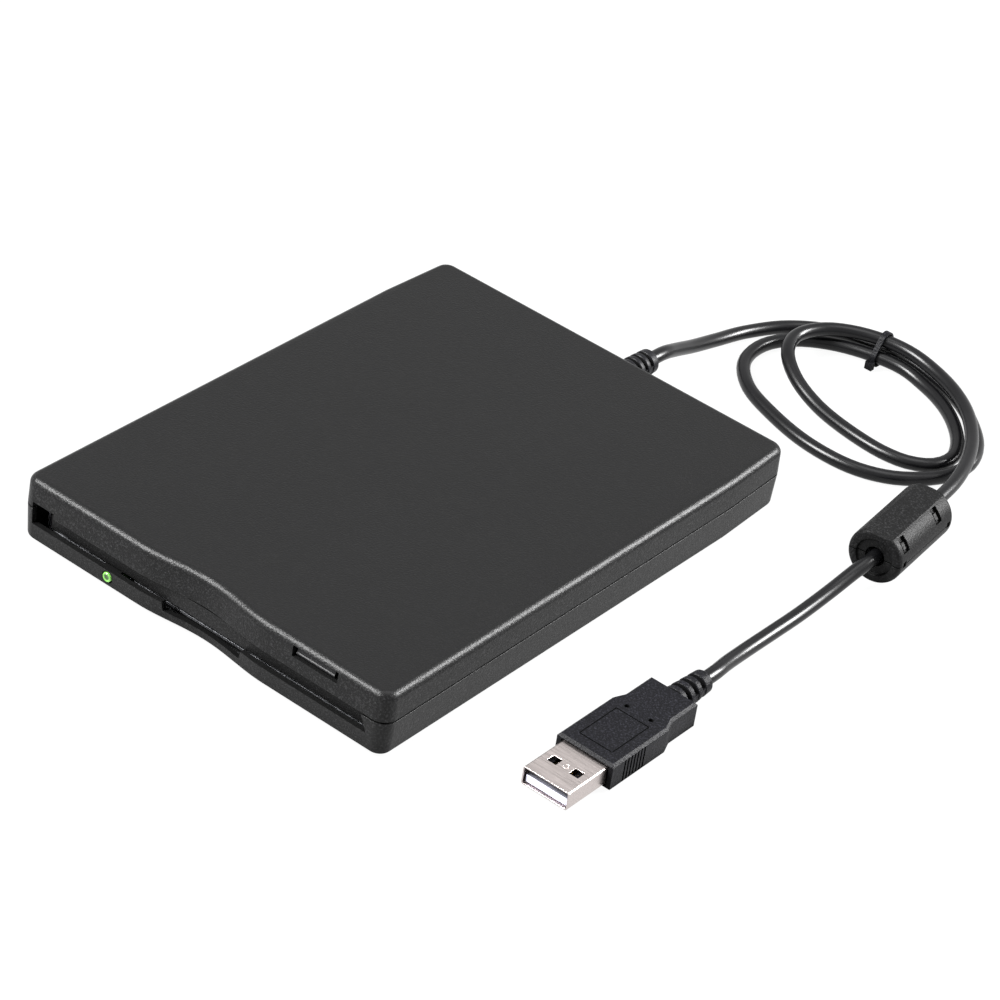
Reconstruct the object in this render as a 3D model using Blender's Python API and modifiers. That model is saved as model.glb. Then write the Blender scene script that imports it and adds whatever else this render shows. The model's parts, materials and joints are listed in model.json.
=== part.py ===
"""External floppy disk drive: a flat two-shell case round a slim disk drive, with a coiled lead.

X runs right along the front, -Y is the front with the slot, and Z is up from the floor.
The origin is under the middle of the case, on the floor. All sizes are in metres.
"""

import math

import bmesh
import bpy
from mathutils import Matrix, Vector

# Driving dimensions of the case
CASE_WIDTH = 0.104
CASE_LENGTH = 0.140
CASE_HEIGHT = 0.016
FOOT_LIFT = 0.001
SIDE_WALL = 0.0015
TOP_WALL = 0.0012
FLOOR_WALL = 0.0012
SEAM_RISE = 0.0088

# Clearances and overruns
GAP = 0.0003
HAIR_GAP = 0.00005
LOOSE_GAP = 0.0006
OVERRUN = 0.001
SINK = 0.0002
WELD = 0.00001

# Case form
PLAN_RADIUS = 0.0035
LEAST_RADIUS = 0.0006
TOP_FILLET = 0.002
BASE_FILLET = 0.0015
INNER_FILLET = 0.0008
UPPER_DRAW_IN = 0.00017
BASE_DRAW_IN = 0.00035
REAR_TAPER = 0.00092
REAR_TAPER_LENGTH = 0.0215
SKIN = 0.0006
TONGUE_RISE = 0.00095
FINGER_CENTRE = 0.0006
FINGER_HALF = 0.0185
FINGER_DEEP_TOP = 0.002
FINGER_DEEP_BASE = 0.00165

# Openings in the case front
SLOT_LEFT_INSET = 0.0034
SLOT_RIGHT_LOW_INSET = 0.0048
SLOT_RIGHT_HIGH_INSET = 0.0066
SLOT_TALL = 0.00425
NOTCH_LEFT = -0.0103
NOTCH_RIGHT = 0.0115
NOTCH_DEEP = 0.0021
POCKET_WIDE = 0.0063
POCKET_RISE = 0.00145
BUTTON_RIGHT_INSET = 0.0136
BUTTON_WIDE = 0.0105
BUTTON_TALL = 0.002
BUTTON_LEFT_SPACE = 0.0006
BUTTON_RIGHT_SPACE = 0.0013
BUTTON_RECESS = 0.0007
BUTTON_DEEP = 0.0068
BUTTON_BEVEL = 0.0002
LED_LEFT_INSET = 0.026
LED_RISE = 0.0029
LED_RADIUS = 0.0012
LED_LENGTH = 0.0038
LED_DOME = 0.0003
LED_HOLDER_HALF = 0.0024
LED_HOLDER_DEEP = 0.0026

# Dust door on its pin behind the slot
DOOR_RECESS = 0.002
DOOR_SHEET = 0.0008
DOOR_LEFT_INSET = 0.0075
DOOR_RIGHT_INSET = 0.0065
DOOR_EDGE_GAP = 0.00025
DOOR_AXIS_RISE = 0.00105
DOOR_PIN_RADIUS = 0.0005
DOOR_BARREL_RADIUS = 0.0009
DOOR_TAB_INNER_INSET = 0.028
DOOR_TAB_OUTER_INSET = 0.012
DOOR_END_STEP = 0.0003
BRACKET_WIDE = 0.003
BRACKET_FRONT = 0.0014
BRACKET_RADIUS = 0.0012
DOOR_SPRING_RADIUS = 0.00095
DOOR_SPRING_WIRE = 0.00012
DOOR_SPRING_TURNS = 3

# Feet and screws
FOOT_RADIUS = 0.0045
FOOT_SET = 0.0005
FOOT_SIDE_INSET = 0.011
FOOT_FRONT_INSET = 0.011
FOOT_REAR_INSET = 0.015
SCREW_HEAD_RADIUS = 0.0018
SCREW_SHANK_RADIUS = 0.0009
SCREW_HEAD_SINK = 0.0001
CASE_SCREW_HEAD = 0.0009
CASE_SCREW_LENGTH = 0.0075
CASE_SCREW_SIDE_INSET = 0.009
CASE_SCREW_REAR_INSET = 0.0055
CASE_BOSS_RISE = 0.001
POST_RADIUS = 0.0025
DRIVE_SCREW_HEAD = 0.00035
DRIVE_SCREW_SIDE_INSET = 0.0125
DRIVE_SCREW_FRONT_INSET = 0.0235
DRIVE_SCREW_REAR_INSET = 0.029

# Frame of the drive, a channel open at the front, the rear and the top
DRIVE_SIDE_SPACE = 0.0025
DRIVE_FRONT_SPACE = 0.0045
DRIVE_REAR_SPACE = 0.008
FRAME_SHEET = 0.0006
LID_SPACE = 0.0009
LID_SHEET = 0.0005
LID_FRONT_STEP = 0.0045
LID_FLANGE_DROP = 0.003
SPINDLE_FROM_REAR = 0.080
SPINDLE_HOLE_RADIUS = 0.023

# Disk cradle and the slide that lowers it
CRADLE_SIDE_SPACE = 0.0018
CRADLE_SHEET = 0.0005
CRADLE_LIP_SHEET = 0.00035
CRADLE_LIP_WIDE = 0.0042
CRADLE_SPACE = 0.00445
CRADLE_FRONT_STEP = 0.0037
CRADLE_DROP = 0.0015
CRADLE_PIN_RADIUS = 0.0008
CRADLE_PIN_DOWN = 0.0017
CRADLE_PIN_REACH = 0.0016
CRADLE_PIN_FRONT_STEP = 0.0118
CRADLE_PIN_REAR_STEP = 0.012
PIN_SLOT_HALF = 0.0011
SLIDE_TRAVEL = 0.0035
SLIDE_SPACE = 0.0006
SLIDE_SHEET = 0.0005
SLIDE_SKIRT_RISE = 0.0019
SLIDE_FRONT_STEP = 0.0018
SLIDE_REAR_STEP = 0.004
SLIDE_STRIP_DEEP = 0.015
SLIDE_ARM_WIDE = 0.003
EJECT_TAIL_FRONT_STEP = 0.0009
EJECT_TAIL_INSET = 0.0014
EJECT_TAIL_OVERLAP = 0.002
SPRING_TAB_HALF = 0.0013
SPRING_TAB_SHEET = 0.0005
SPRING_SIDE_STEP = 0.005
SPRING_RADIUS = 0.00085
SPRING_WIRE = 0.0002
SPRING_TURNS = 7
SPRING_LID_TAB_STEP = 0.002

# Windows in the cradle
HEAD_WINDOW_HALF = 0.009
HEAD_WINDOW_REACH = 0.026
LEVER_WINDOW_REACH = 0.025
LEVER_WINDOW_STEP = 0.003
LEVER_WINDOW_REAR_STEP = 0.0045
LEVER_WINDOW_LENGTH = 0.022

# Shutter lever on the cradle
LEVER_PIVOT_INSET = 0.0062
LEVER_PIVOT_STEP = 0.0035
LEVER_LENGTH = 0.0218
LEVER_HALF = 0.0014
LEVER_HUB_RADIUS = 0.0024
LEVER_SHEET = 0.0005
LEVER_REST_DEGREES = -108.9
LEVER_FINGER_RADIUS = 0.001
LEVER_FINGER_DROP = 0.0040
LEVER_PIN_RADIUS = 0.0009
LEVER_PIN_HEAD_RADIUS = 0.0016
LEVER_PIN_HEAD = 0.0004

# Spindle
BOARD_SHEET = 0.0003
BOARD_STANDOFF = 0.00025
SPINDLE_BOARD_RADIUS = 0.0227
BEARING_RADIUS = 0.0045
BEARING_TALL = 0.00035
STATOR_TEETH = 12
STATOR_RADIUS = 0.0178
STATOR_TOOTH_ROOT = 0.0125
STATOR_BORE = 0.008
STATOR_TALL = 0.0003
ROTOR_RADIUS = 0.020
ROTOR_RIM = 0.0014
ROTOR_SHEET = 0.0003
HUB_RADIUS = 0.0125
HUB_TALL = 0.0009
SHAFT_RADIUS = 0.002
SHAFT_PROUD = 0.0004
DRIVE_PIN_RADIUS = 0.0014
DRIVE_PIN_OFFSET = 0.0085

# Head carriage on its rod and lead screw
HEAD_TRAVEL = 0.015
CARRIAGE_REAR_STEP = 0.0035
CARRIAGE_LENGTH = 0.0115
CARRIAGE_LEFT = -0.014
CARRIAGE_RIGHT = 0.020
CARRIAGE_TALL = 0.0056
NOSE_HALF = 0.006
NOSE_LENGTH = 0.028
NOSE_TALL = 0.0005
HEAD_STEP = 0.0025
HEAD_RADIUS = 0.0015
LOWER_HEAD_TALL = 0.0014
UPPER_HEAD_TALL = 0.0003
ROD_X = 0.016
ROD_RISE = 0.0039
ROD_RADIUS = 0.0015
LUG_LENGTH = 0.0014
LUG_FRONT_CLEAR = 0.0005
LUG_MARGIN = 0.0007
SCREW_X = -0.024
SCREW_RISE = 0.0057
SCREW_RADIUS = 0.0015
STEPPER_RADIUS = 0.00525
STEPPER_LENGTH = 0.0115
NUT_LENGTH = 0.002
NUT_MARGIN = 0.0011
BEARING_WALL = 0.0007
ARM_HALF = 0.005
ARM_SHEET = 0.0006
ARM_HINGE_STEP = 0.002
ARM_RISE = 0.0016
ARM_TAIL = 0.001
ARM_PIN_RADIUS = 0.0006
ARM_LUG_INNER = 0.0073
ARM_LUG_SHEET = 0.0022
ARM_LUG_HALF = 0.002

# Disk sensing switches
SWITCH_SIDE_INSET = 0.0085
SWITCH_HALF = 0.0018
SWITCH_FRONT_STEP = 0.0005
SWITCH_LENGTH = 0.005
SWITCH_TALL = 0.0014
PLUNGER_RADIUS = 0.0007
PLUNGER_TRAVEL = 0.0009
PLUNGER_PROUD = 0.0008

# Boards behind and beside the drive
MAIN_BOARD_TALL = 0.0008
MAIN_BOARD_LEFT = 0.0215
MAIN_BOARD_FRONT_STEP = 0.030
CHIP_TALL = 0.001
MAIN_CHIP_HALF = 0.004
MAIN_CHIP_STEP = 0.010
USB_BOARD_HALF = 0.036
USB_BOARD_FRONT_STEP = 0.002
USB_BOARD_REAR_GAP = 0.0007
USB_BOARD_RISE = 0.0038
USB_BOARD_TALL = 0.001
PILLAR_RADIUS = 0.0016
PILLAR_X = 0.033
INTERFACE_CHIP_X = -0.010
INTERFACE_CHIP_HALF = 0.004
INTERFACE_CHIP_LENGTH = 0.004
CONNECTOR_HALF = 0.003
CONNECTOR_LENGTH = 0.0032
CONNECTOR_TALL = 0.0025
FLEX_SHEET = 0.0002
FLEX_LEFT = 0.0245
FLEX_RIGHT = 0.0375
FLEX_FRONT_RUN = 0.0065
FLEX_REAR_RUN = 0.003
FLEX_STANDOFF = 0.0008
FLEX_TURN_RADIUS = 0.0006

# Lead where it leaves the case
LEAD_X = 0.0045
LEAD_RISE = 0.0112
CABLE_RADIUS = 0.0017
RELIEF_FLANGE_RADIUS = 0.0032
RELIEF_FLANGE = 0.0011
RELIEF_NECK_RADIUS = 0.0019
RELIEF_RADIUS = 0.0034
RELIEF_END_RADIUS = 0.003
RELIEF_GROOVE_RADIUS = 0.0025
RELIEF_RIBS = 4
RELIEF_LENGTH = 0.009
RELIEF_GROOVE_SHARE = 0.35
CORE_LEAD_RADIUS = 0.0008
CORE_LEAD_BEND = 0.0012

# Cable tie
TIE_X = 0.0316
TIE_WIDE = 0.002
TIE_BAND = 0.0006
TIE_HEAD_LENGTH = 0.0026
TIE_HEAD_TALL = 0.0034
TIE_TAIL_LENGTH = 0.0042
TIE_TAIL_RISE = 0.0022

# Ferrite bead, split level with the cable
BEAD_FRONT = Vector((0.08225, 0.06239, 0.00655))
BEAD_REAR = Vector((0.07949, 0.08792, 0.00655))
BEAD_RADIUS = 0.00675
BEAD_TOP_FLAT_DROP = 0.0007
BEAD_WALL = 0.0014
BEAD_END_WALL = 0.0016
BEAD_END_FILLET = 0.0012
BEAD_END_DISH = 0.0006
BEAD_END_RIM = 0.0012
BEAD_HOLE_RADIUS = 0.0024
CORE_BORE_RADIUS = 0.0023
BEAD_WINDOW_LONG = 0.0026
BEAD_WINDOW_HIGH = 0.0038
BEAD_WINDOW_DEEP = 0.0009
BEAD_WINDOW_PLACES = (-0.0094, 0.0059)
BEAD_WINDOW_DEGREES = 40.0

# Plug
PLUG_X = 0.0817
PLUG_Z = 0.0034
PLUG_TIP_Y = -0.0534
PLUG_SHELL_WIDE = 0.012
PLUG_SHELL_TALL = 0.0045
PLUG_SHELL_SHEET = 0.0003
PLUG_SHELL_OUT = 0.0126
PLUG_SHELL_SET = 0.003
PLUG_HOLE = 0.0023
PLUG_HOLE_SIDE = 0.0029
PLUG_HOLE_STEP = 0.0052
PLUG_TONGUE_TALL = 0.0018
PLUG_TONGUE_STEP = 0.0006
GRIP_WIDE = 0.0148
GRIP_TALL = 0.0068
GRIP_LENGTH = 0.0304
GRIP_WAIST_WIDE = 0.0124
GRIP_WAIST_START = 0.0185
GRIP_WAIST_END = 0.0215
GRIP_BEVEL = 0.0006
GRIP_RIBS = 7
GRIP_RIB_START = 0.004
GRIP_RIB_PITCH = 0.0011
GRIP_RIB_WIDE = 0.0005
GRIP_RIB_DEEP = 0.0003
TAIL_RADIUS = 0.0033
TAIL_END_RADIUS = 0.0027
TAIL_GROOVE_RADIUS = 0.0022
TAIL_RIBS = 4
TAIL_LENGTH = 0.0109
TAIL_GROOVE_SHARE = 0.35

# The cable's route, from the strain relief round its loops and through the bead to the plug
CABLE_ROUTE = (
    (0.0045, 0.0796, 0.0122), (0.0045, 0.0845, 0.0120), (0.0034, 0.0912, 0.0096),
    (0.0022, 0.1010, 0.0060), (0.0019, 0.1115, 0.0033), (0.0034, 0.1220, 0.0020),
    (0.0086, 0.1326, 0.0017), (0.0175, 0.1396, 0.0020), (0.0313, 0.1421, 0.0026),
    (0.0391, 0.1430, 0.0023), (0.0474, 0.1416, 0.0017), (0.0565, 0.1376, 0.0017),
    (0.0642, 0.1316, 0.0017), (0.0697, 0.1250, 0.0017), (0.0725, 0.1174, 0.0017),
    (0.0716, 0.1096, 0.0017), (0.0680, 0.1032, 0.0017), (0.0624, 0.0979, 0.0017),
    (0.0543, 0.0946, 0.0017), (0.0419, 0.0945, 0.0017), (0.0289, 0.0980, 0.0017),
    (0.0179, 0.1033, 0.0017), (0.0108, 0.1116, 0.0017), (0.0096, 0.1215, 0.0017),
    (0.0136, 0.1296, 0.0017), (0.0215, 0.1350, 0.0021), (0.0319, 0.1378, 0.0026),
    (0.0389, 0.1388, 0.0023), (0.0461, 0.1375, 0.0017), (0.0541, 0.1338, 0.0017),
    (0.0610, 0.1283, 0.0017), (0.0657, 0.1225, 0.0017), (0.0682, 0.1163, 0.0017),
    (0.0669, 0.1106, 0.0017), (0.0626, 0.1070, 0.0017), (0.0565, 0.1056, 0.0017),
    (0.0465, 0.1063, 0.0017), (0.0340, 0.1092, 0.0020), (0.0250, 0.1124, 0.0039),
    (0.0186, 0.1174, 0.0059), (0.0160, 0.1246, 0.0063), (0.0186, 0.1322, 0.0063),
    (0.0242, 0.1372, 0.0062), (0.0316, 0.1400, 0.0062), (0.0390, 0.1409, 0.0059),
    (0.0467, 0.1396, 0.0054), (0.0553, 0.1358, 0.0053), (0.0628, 0.1300, 0.0054),
    (0.0696, 0.1215, 0.0057), (0.0746, 0.1116, 0.0061), (0.0776, 0.1020, 0.0064),
    (0.0790, 0.0925, 0.00655), (0.0802, 0.0813, 0.00655), (0.0815, 0.0693, 0.00655),
    (0.08246, 0.0605, 0.00645), (0.0818, 0.0568, 0.0054), (0.0810, 0.0486, 0.0033),
    (0.0805, 0.0376, 0.0019), (0.0803, 0.0272, 0.0017), (0.0804, 0.0170, 0.0020),
    (0.0810, 0.0096, 0.0028), (0.0817, 0.0048, 0.0034), (0.0817, 0.0008, 0.0034),
)
CABLE_SAMPLES = 78
ROUTE_FINE_STEPS = 24
TIED_STRANDS = ((0.1421, 0.0026), (0.1378, 0.0026), (0.1400, 0.0062))

# Counts for round shapes
ROUND_SIDES = 20
WIDE_SIDES = 36
CORNER_STEPS = 4
FILLET_STEPS = 3
FINGER_STEPS = 14
SPRING_TURN_STEPS = 8
CABLE_BEVEL_STEPS = 2
SPRING_BEVEL_STEPS = 1
SMOOTH_DEGREES = 35.0

# Levels of the case
BASE_Z = FOOT_LIFT
TOP_Z = BASE_Z + CASE_HEIGHT
FLOOR_Z = BASE_Z + FLOOR_WALL
CEILING_Z = TOP_Z - TOP_WALL
SEAM_Z = BASE_Z + SEAM_RISE
LOWER_RIM_Z = SEAM_Z - GAP / 2
UPPER_RIM_Z = SEAM_Z + GAP / 2
TONGUE_Z = LOWER_RIM_Z + TONGUE_RISE
SLOT_TOP_Z = UPPER_RIM_Z
SLOT_LOW_Z = SLOT_TOP_Z - SLOT_TALL
CASE_HALF = CASE_WIDTH / 2
FRONT_Y = -CASE_LENGTH / 2
REAR_Y = CASE_LENGTH / 2
INNER_FRONT_Y = FRONT_Y + SIDE_WALL
INNER_REAR_Y = REAR_Y - SIDE_WALL
BEHIND_FINGER_Y = FRONT_Y + FINGER_DEEP_TOP + SIDE_WALL + GAP

# Levels and edges of the drive
FRAME_LOW_Z = FLOOR_Z + GAP
DECK_Z = FRAME_LOW_Z + FRAME_SHEET
LID_TOP_Z = CEILING_Z - LID_SPACE
LID_LOW_Z = LID_TOP_Z - LID_SHEET
FRAME_TOP_Z = LID_LOW_Z - GAP
FRAME_HALF = CASE_HALF - SIDE_WALL - DRIVE_SIDE_SPACE
FRAME_INNER = FRAME_HALF - FRAME_SHEET
FRAME_FRONT_Y = FRONT_Y + DRIVE_FRONT_SPACE
FRAME_REAR_Y = REAR_Y - SIDE_WALL - DRIVE_REAR_SPACE
SPINDLE_Y = FRAME_REAR_Y - SPINDLE_FROM_REAR

# Levels and edges of the cradle and the slide
CRADLE_CEILING_Z = SLOT_TOP_Z + HAIR_GAP
CRADLE_TOP_Z = CRADLE_CEILING_Z + CRADLE_SHEET
CRADLE_LIP_TOP_Z = CRADLE_CEILING_Z - CRADLE_SPACE
CRADLE_LIP_LOW_Z = CRADLE_LIP_TOP_Z - CRADLE_LIP_SHEET
CRADLE_HALF = FRAME_HALF - CRADLE_SIDE_SPACE
CRADLE_FRONT_Y = FRAME_FRONT_Y + CRADLE_FRONT_STEP
CRADLE_PIN_Z = CRADLE_CEILING_Z - CRADLE_PIN_DOWN
SLIDE_LOW_Z = CRADLE_TOP_Z + SLIDE_SPACE
SLIDE_TOP_Z = SLIDE_LOW_Z + SLIDE_SHEET
SLIDE_INNER = CRADLE_HALF + GAP
SLIDE_HALF = SLIDE_INNER + SLIDE_SHEET
SLIDE_SKIRT_Z = DECK_Z + SLIDE_SKIRT_RISE
SLIDE_FRONT_Y = CRADLE_FRONT_Y + SLIDE_FRONT_STEP
SPRING_X = SLIDE_HALF - SPRING_SIDE_STEP
SPRING_Z = (SLIDE_TOP_Z + LID_LOW_Z) / 2
STRIP_REAR_Y = SLIDE_FRONT_Y + SLIDE_STRIP_DEEP
LID_FRONT_Y = FRAME_FRONT_Y + LID_FRONT_STEP

# Places along the head carriage, from the rear
CARRIAGE_REAR_Y = FRAME_REAR_Y - CARRIAGE_REAR_STEP
CARRIAGE_FRONT_Y = CARRIAGE_REAR_Y - CARRIAGE_LENGTH
CARRIAGE_LOW_Z = DECK_Z + GAP
CARRIAGE_TOP_Z = CARRIAGE_LOW_Z + CARRIAGE_TALL
LUG_REAR_Y = CARRIAGE_FRONT_Y - HEAD_TRAVEL - LUG_FRONT_CLEAR
LUG_FRONT_Y = LUG_REAR_Y - LUG_LENGTH
CRADLE_REAR_Y = LUG_FRONT_Y - LOOSE_GAP
NOSE_FRONT_Y = CARRIAGE_FRONT_Y - NOSE_LENGTH
NOSE_TOP_Z = CARRIAGE_LOW_Z + NOSE_TALL
HEAD_Y = NOSE_FRONT_Y + HEAD_STEP
ROD_Z = DECK_Z + ROD_RISE
SCREW_Z = DECK_Z + SCREW_RISE
ARM_Y = CARRIAGE_REAR_Y - ARM_HINGE_STEP
ARM_LOW_Z = CARRIAGE_TOP_Z + ARM_RISE
ARM_Z = ARM_LOW_Z + ARM_SHEET / 2
SLIDE_REAR_Y = CRADLE_REAR_Y - SLIDE_REAR_STEP
PIN_PLACES_Y = (CRADLE_FRONT_Y + CRADLE_PIN_FRONT_STEP, CRADLE_REAR_Y - CRADLE_PIN_REAR_STEP)

# Places of the dust door
DOOR_BACK_Y = FRONT_Y + DOOR_RECESS + DOOR_SHEET
DOOR_AXIS_Z = SLOT_TOP_Z + DOOR_AXIS_RISE
DOOR_LEFT_X = -CASE_HALF + DOOR_LEFT_INSET
DOOR_RIGHT_X = CASE_HALF - DOOR_RIGHT_INSET
BRACKET_OUTER_X = DOOR_RIGHT_X
BRACKET_INNER_X = BRACKET_OUTER_X - BRACKET_WIDE

# Places of the spindle
BOARD_TOP_Z = FLOOR_Z + BOARD_STANDOFF + BOARD_SHEET
BEARING_LOW_Z = BOARD_TOP_Z + GAP
ROTOR_LOW_Z = BEARING_LOW_Z + BEARING_TALL + GAP
ROTOR_TOP_Z = ROTOR_LOW_Z + ROTOR_SHEET
HUB_LOW_Z = ROTOR_TOP_Z + GAP
HUB_TOP_Z = HUB_LOW_Z + HUB_TALL

# Places at the rear
LEAD_Z = BASE_Z + LEAD_RISE
SCREW_POST_X = CASE_HALF - CASE_SCREW_SIDE_INSET
SCREW_POST_Y = REAR_Y - CASE_SCREW_REAR_INSET
USB_BOARD_Z = FLOOR_Z + USB_BOARD_RISE
USB_BOARD_TOP_Z = USB_BOARD_Z + USB_BOARD_TALL
USB_BOARD_FRONT_Y = FRAME_REAR_Y + USB_BOARD_FRONT_STEP
USB_BOARD_REAR_Y = INNER_REAR_Y - USB_BOARD_REAR_GAP
MAIN_BOARD_Z = DECK_Z + GAP
MAIN_BOARD_TOP_Z = MAIN_BOARD_Z + MAIN_BOARD_TALL

# Colours: red, green, blue, roughness, metallic
LOOKS = {
    "case_black": (0.040, 0.041, 0.044, 0.55, 0.0),
    "door_grey": (0.070, 0.071, 0.075, 0.60, 0.0),
    "button_black": (0.020, 0.020, 0.022, 0.50, 0.0),
    "lens_green": (0.10, 0.65, 0.20, 0.20, 0.0),
    "rubber_black": (0.015, 0.015, 0.015, 0.85, 0.0),
    "screw_steel": (0.55, 0.55, 0.56, 0.30, 1.0),
    "zinc_sheet": (0.60, 0.61, 0.63, 0.38, 1.0),
    "bright_sheet": (0.68, 0.69, 0.70, 0.30, 1.0),
    "spring_steel": (0.50, 0.50, 0.51, 0.28, 1.0),
    "board_green": (0.02, 0.16, 0.07, 0.45, 0.0),
    "chip_black": (0.025, 0.025, 0.028, 0.50, 0.0),
    "connector_white": (0.80, 0.79, 0.74, 0.45, 0.0),
    "flex_amber": (0.55, 0.28, 0.06, 0.35, 0.0),
    "moulded_grey": (0.12, 0.12, 0.125, 0.55, 0.0),
    "brass": (0.72, 0.52, 0.24, 0.30, 1.0),
    "winding_copper": (0.72, 0.36, 0.18, 0.40, 1.0),
    "head_ceramic": (0.50, 0.46, 0.40, 0.35, 0.0),
    "cable_black": (0.012, 0.012, 0.013, 0.35, 0.0),
    "ferrite_grey": (0.09, 0.09, 0.095, 0.60, 0.0),
    "plug_black": (0.022, 0.022, 0.025, 0.50, 0.0),
    "nickel": (0.76, 0.73, 0.70, 0.25, 1.0),
    "tongue_lavender": (0.72, 0.72, 0.86, 0.45, 0.0),
}


def clear_scene():
    for obj in list(bpy.data.objects):
        bpy.data.objects.remove(obj, do_unlink=True)


def new_collection(name, hidden=False):
    collection = bpy.data.collections.new(name)
    collection.hide_render = hidden
    bpy.context.scene.collection.children.link(collection)
    return collection


def material(look):
    found = bpy.data.materials.get(look)
    if found:
        return found
    red, green, blue, roughness, metallic = LOOKS[look]
    made = bpy.data.materials.new(look)
    made.use_nodes = True
    shader = made.node_tree.nodes["Principled BSDF"]
    shader.inputs["Base Color"].default_value = (red, green, blue, 1)
    shader.inputs["Roughness"].default_value = roughness
    shader.inputs["Metallic"].default_value = metallic
    made.diffuse_color = (red, green, blue, 1)
    return made


def closed_mesh(build, place=None):
    """A mesh with its faces pointing out, from the bmesh that build fills."""
    work = bmesh.new()
    build(work)
    bmesh.ops.recalc_face_normals(work, faces=work.faces)
    if place is not None:
        work.transform(place)
    mesh = bpy.data.meshes.new("shape")
    work.to_mesh(mesh)
    work.free()
    return mesh


def block(low, high):
    """A box between two corners."""
    low, high = Vector(low), Vector(high)
    size = high - low
    place = Matrix.Translation((low + high) / 2) @ Matrix.Diagonal((*size, 1))
    return closed_mesh(lambda work: bmesh.ops.create_cube(work, size=1), place)


def bar(start, end, radius, sides=ROUND_SIDES, end_radius=None):
    """A round bar between two points."""
    start, end = Vector(start), Vector(end)
    along = end - start
    place = Matrix.Translation((start + end) / 2) @ along.to_track_quat("Z", "Y").to_matrix().to_4x4()
    return closed_mesh(
        lambda work: bmesh.ops.create_cone(
            work, cap_ends=True, segments=sides, radius1=radius,
            radius2=radius if end_radius is None else end_radius, depth=along.length,
        ),
        place,
    )


def evaluated_mesh(obj, place):
    """The mesh that a guide object evaluates to, welded; the guide is removed."""
    bpy.context.view_layer.update()
    graph = bpy.context.evaluated_depsgraph_get()
    mesh = bpy.data.meshes.new_from_object(obj.evaluated_get(graph))
    bpy.data.objects.remove(obj, do_unlink=True)
    work = bmesh.new()
    work.from_mesh(mesh)
    bmesh.ops.remove_doubles(work, verts=work.verts, dist=WELD)
    bmesh.ops.recalc_face_normals(work, faces=work.faces)
    work.transform(place)
    mesh.clear_geometry()
    work.to_mesh(mesh)
    work.free()
    mesh.materials.clear()
    return mesh


def turned(profile, place, sides=ROUND_SIDES, ring=False):
    """A profile of (radius, height), from top to bottom down its outer side, turned about Z."""
    count = len(profile)
    edges = [(i, (i + 1) % count) for i in range(count if ring else count - 1)]
    mesh = bpy.data.meshes.new("profile")
    mesh.from_pydata([(radius, 0, height) for radius, height in profile], edges, [])
    guide = bpy.data.objects.new("profile", mesh)
    CUTTERS.objects.link(guide)
    screw = guide.modifiers.new("turn", "SCREW")
    screw.steps = sides
    screw.render_steps = sides
    screw.use_merge_vertices = True
    screw.merge_threshold = WELD
    return evaluated_mesh(guide, place)


# Each maps an outline's own axes to the plane it is drawn in, and its thickness to the third axis
SIDES_TO_WORLD = {
    "X": Matrix(((0, 0, 1, 0), (1, 0, 0, 0), (0, 1, 0, 0), (0, 0, 0, 1))),
    "Y": Matrix(((1, 0, 0, 0), (0, 0, -1, 0), (0, 1, 0, 0), (0, 0, 0, 1))),
    "Z": Matrix.Identity(4),
}


def extruded(axis, low, high, outline, holes=()):
    """A flat outline, with any holes, extruded along an axis from low to high."""
    curve = bpy.data.curves.new("outline", "CURVE")
    curve.dimensions = "2D"
    curve.fill_mode = "BOTH"
    curve.extrude = (high - low) / 2
    for points in (outline, *holes):
        spline = curve.splines.new("POLY")
        spline.points.add(len(points) - 1)
        for point, (across, up) in zip(spline.points, points):
            point.co = (across, up, 0, 1)
        spline.use_cyclic_u = True
    guide = bpy.data.objects.new("outline", curve)
    CUTTERS.objects.link(guide)
    middle = Vector([(low + high) / 2 if axis == name else 0 for name in "XYZ"])
    return evaluated_mesh(guide, Matrix.Translation(middle) @ SIDES_TO_WORLD[axis])


def arc(centre, radius, start_degrees, end_degrees, steps):
    """Points along an arc in an outline's plane."""
    points = []
    for step in range(steps + 1):
        angle = math.radians(start_degrees + (end_degrees - start_degrees) * step / steps)
        points.append((centre[0] + radius * math.cos(angle), centre[1] + radius * math.sin(angle)))
    return points


def circle(centre, radius, sides=ROUND_SIDES):
    return arc(centre, radius, 0, 360, sides)[:-1]


def rectangle(left, low, right, high):
    return [(left, low), (right, low), (right, high), (left, high)]


def loft(rings):
    """A solid through rings of equally many points, capped at both ends."""

    def build(work):
        loops = [[work.verts.new(point) for point in ring] for ring in rings]
        for low, high in zip(loops, loops[1:]):
            for i, vertex in enumerate(low):
                j = (i + 1) % len(low)
                work.faces.new((vertex, low[j], high[j], high[i]))
        work.faces.new(list(reversed(loops[0])))
        work.faces.new(loops[-1])

    return closed_mesh(build)


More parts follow.
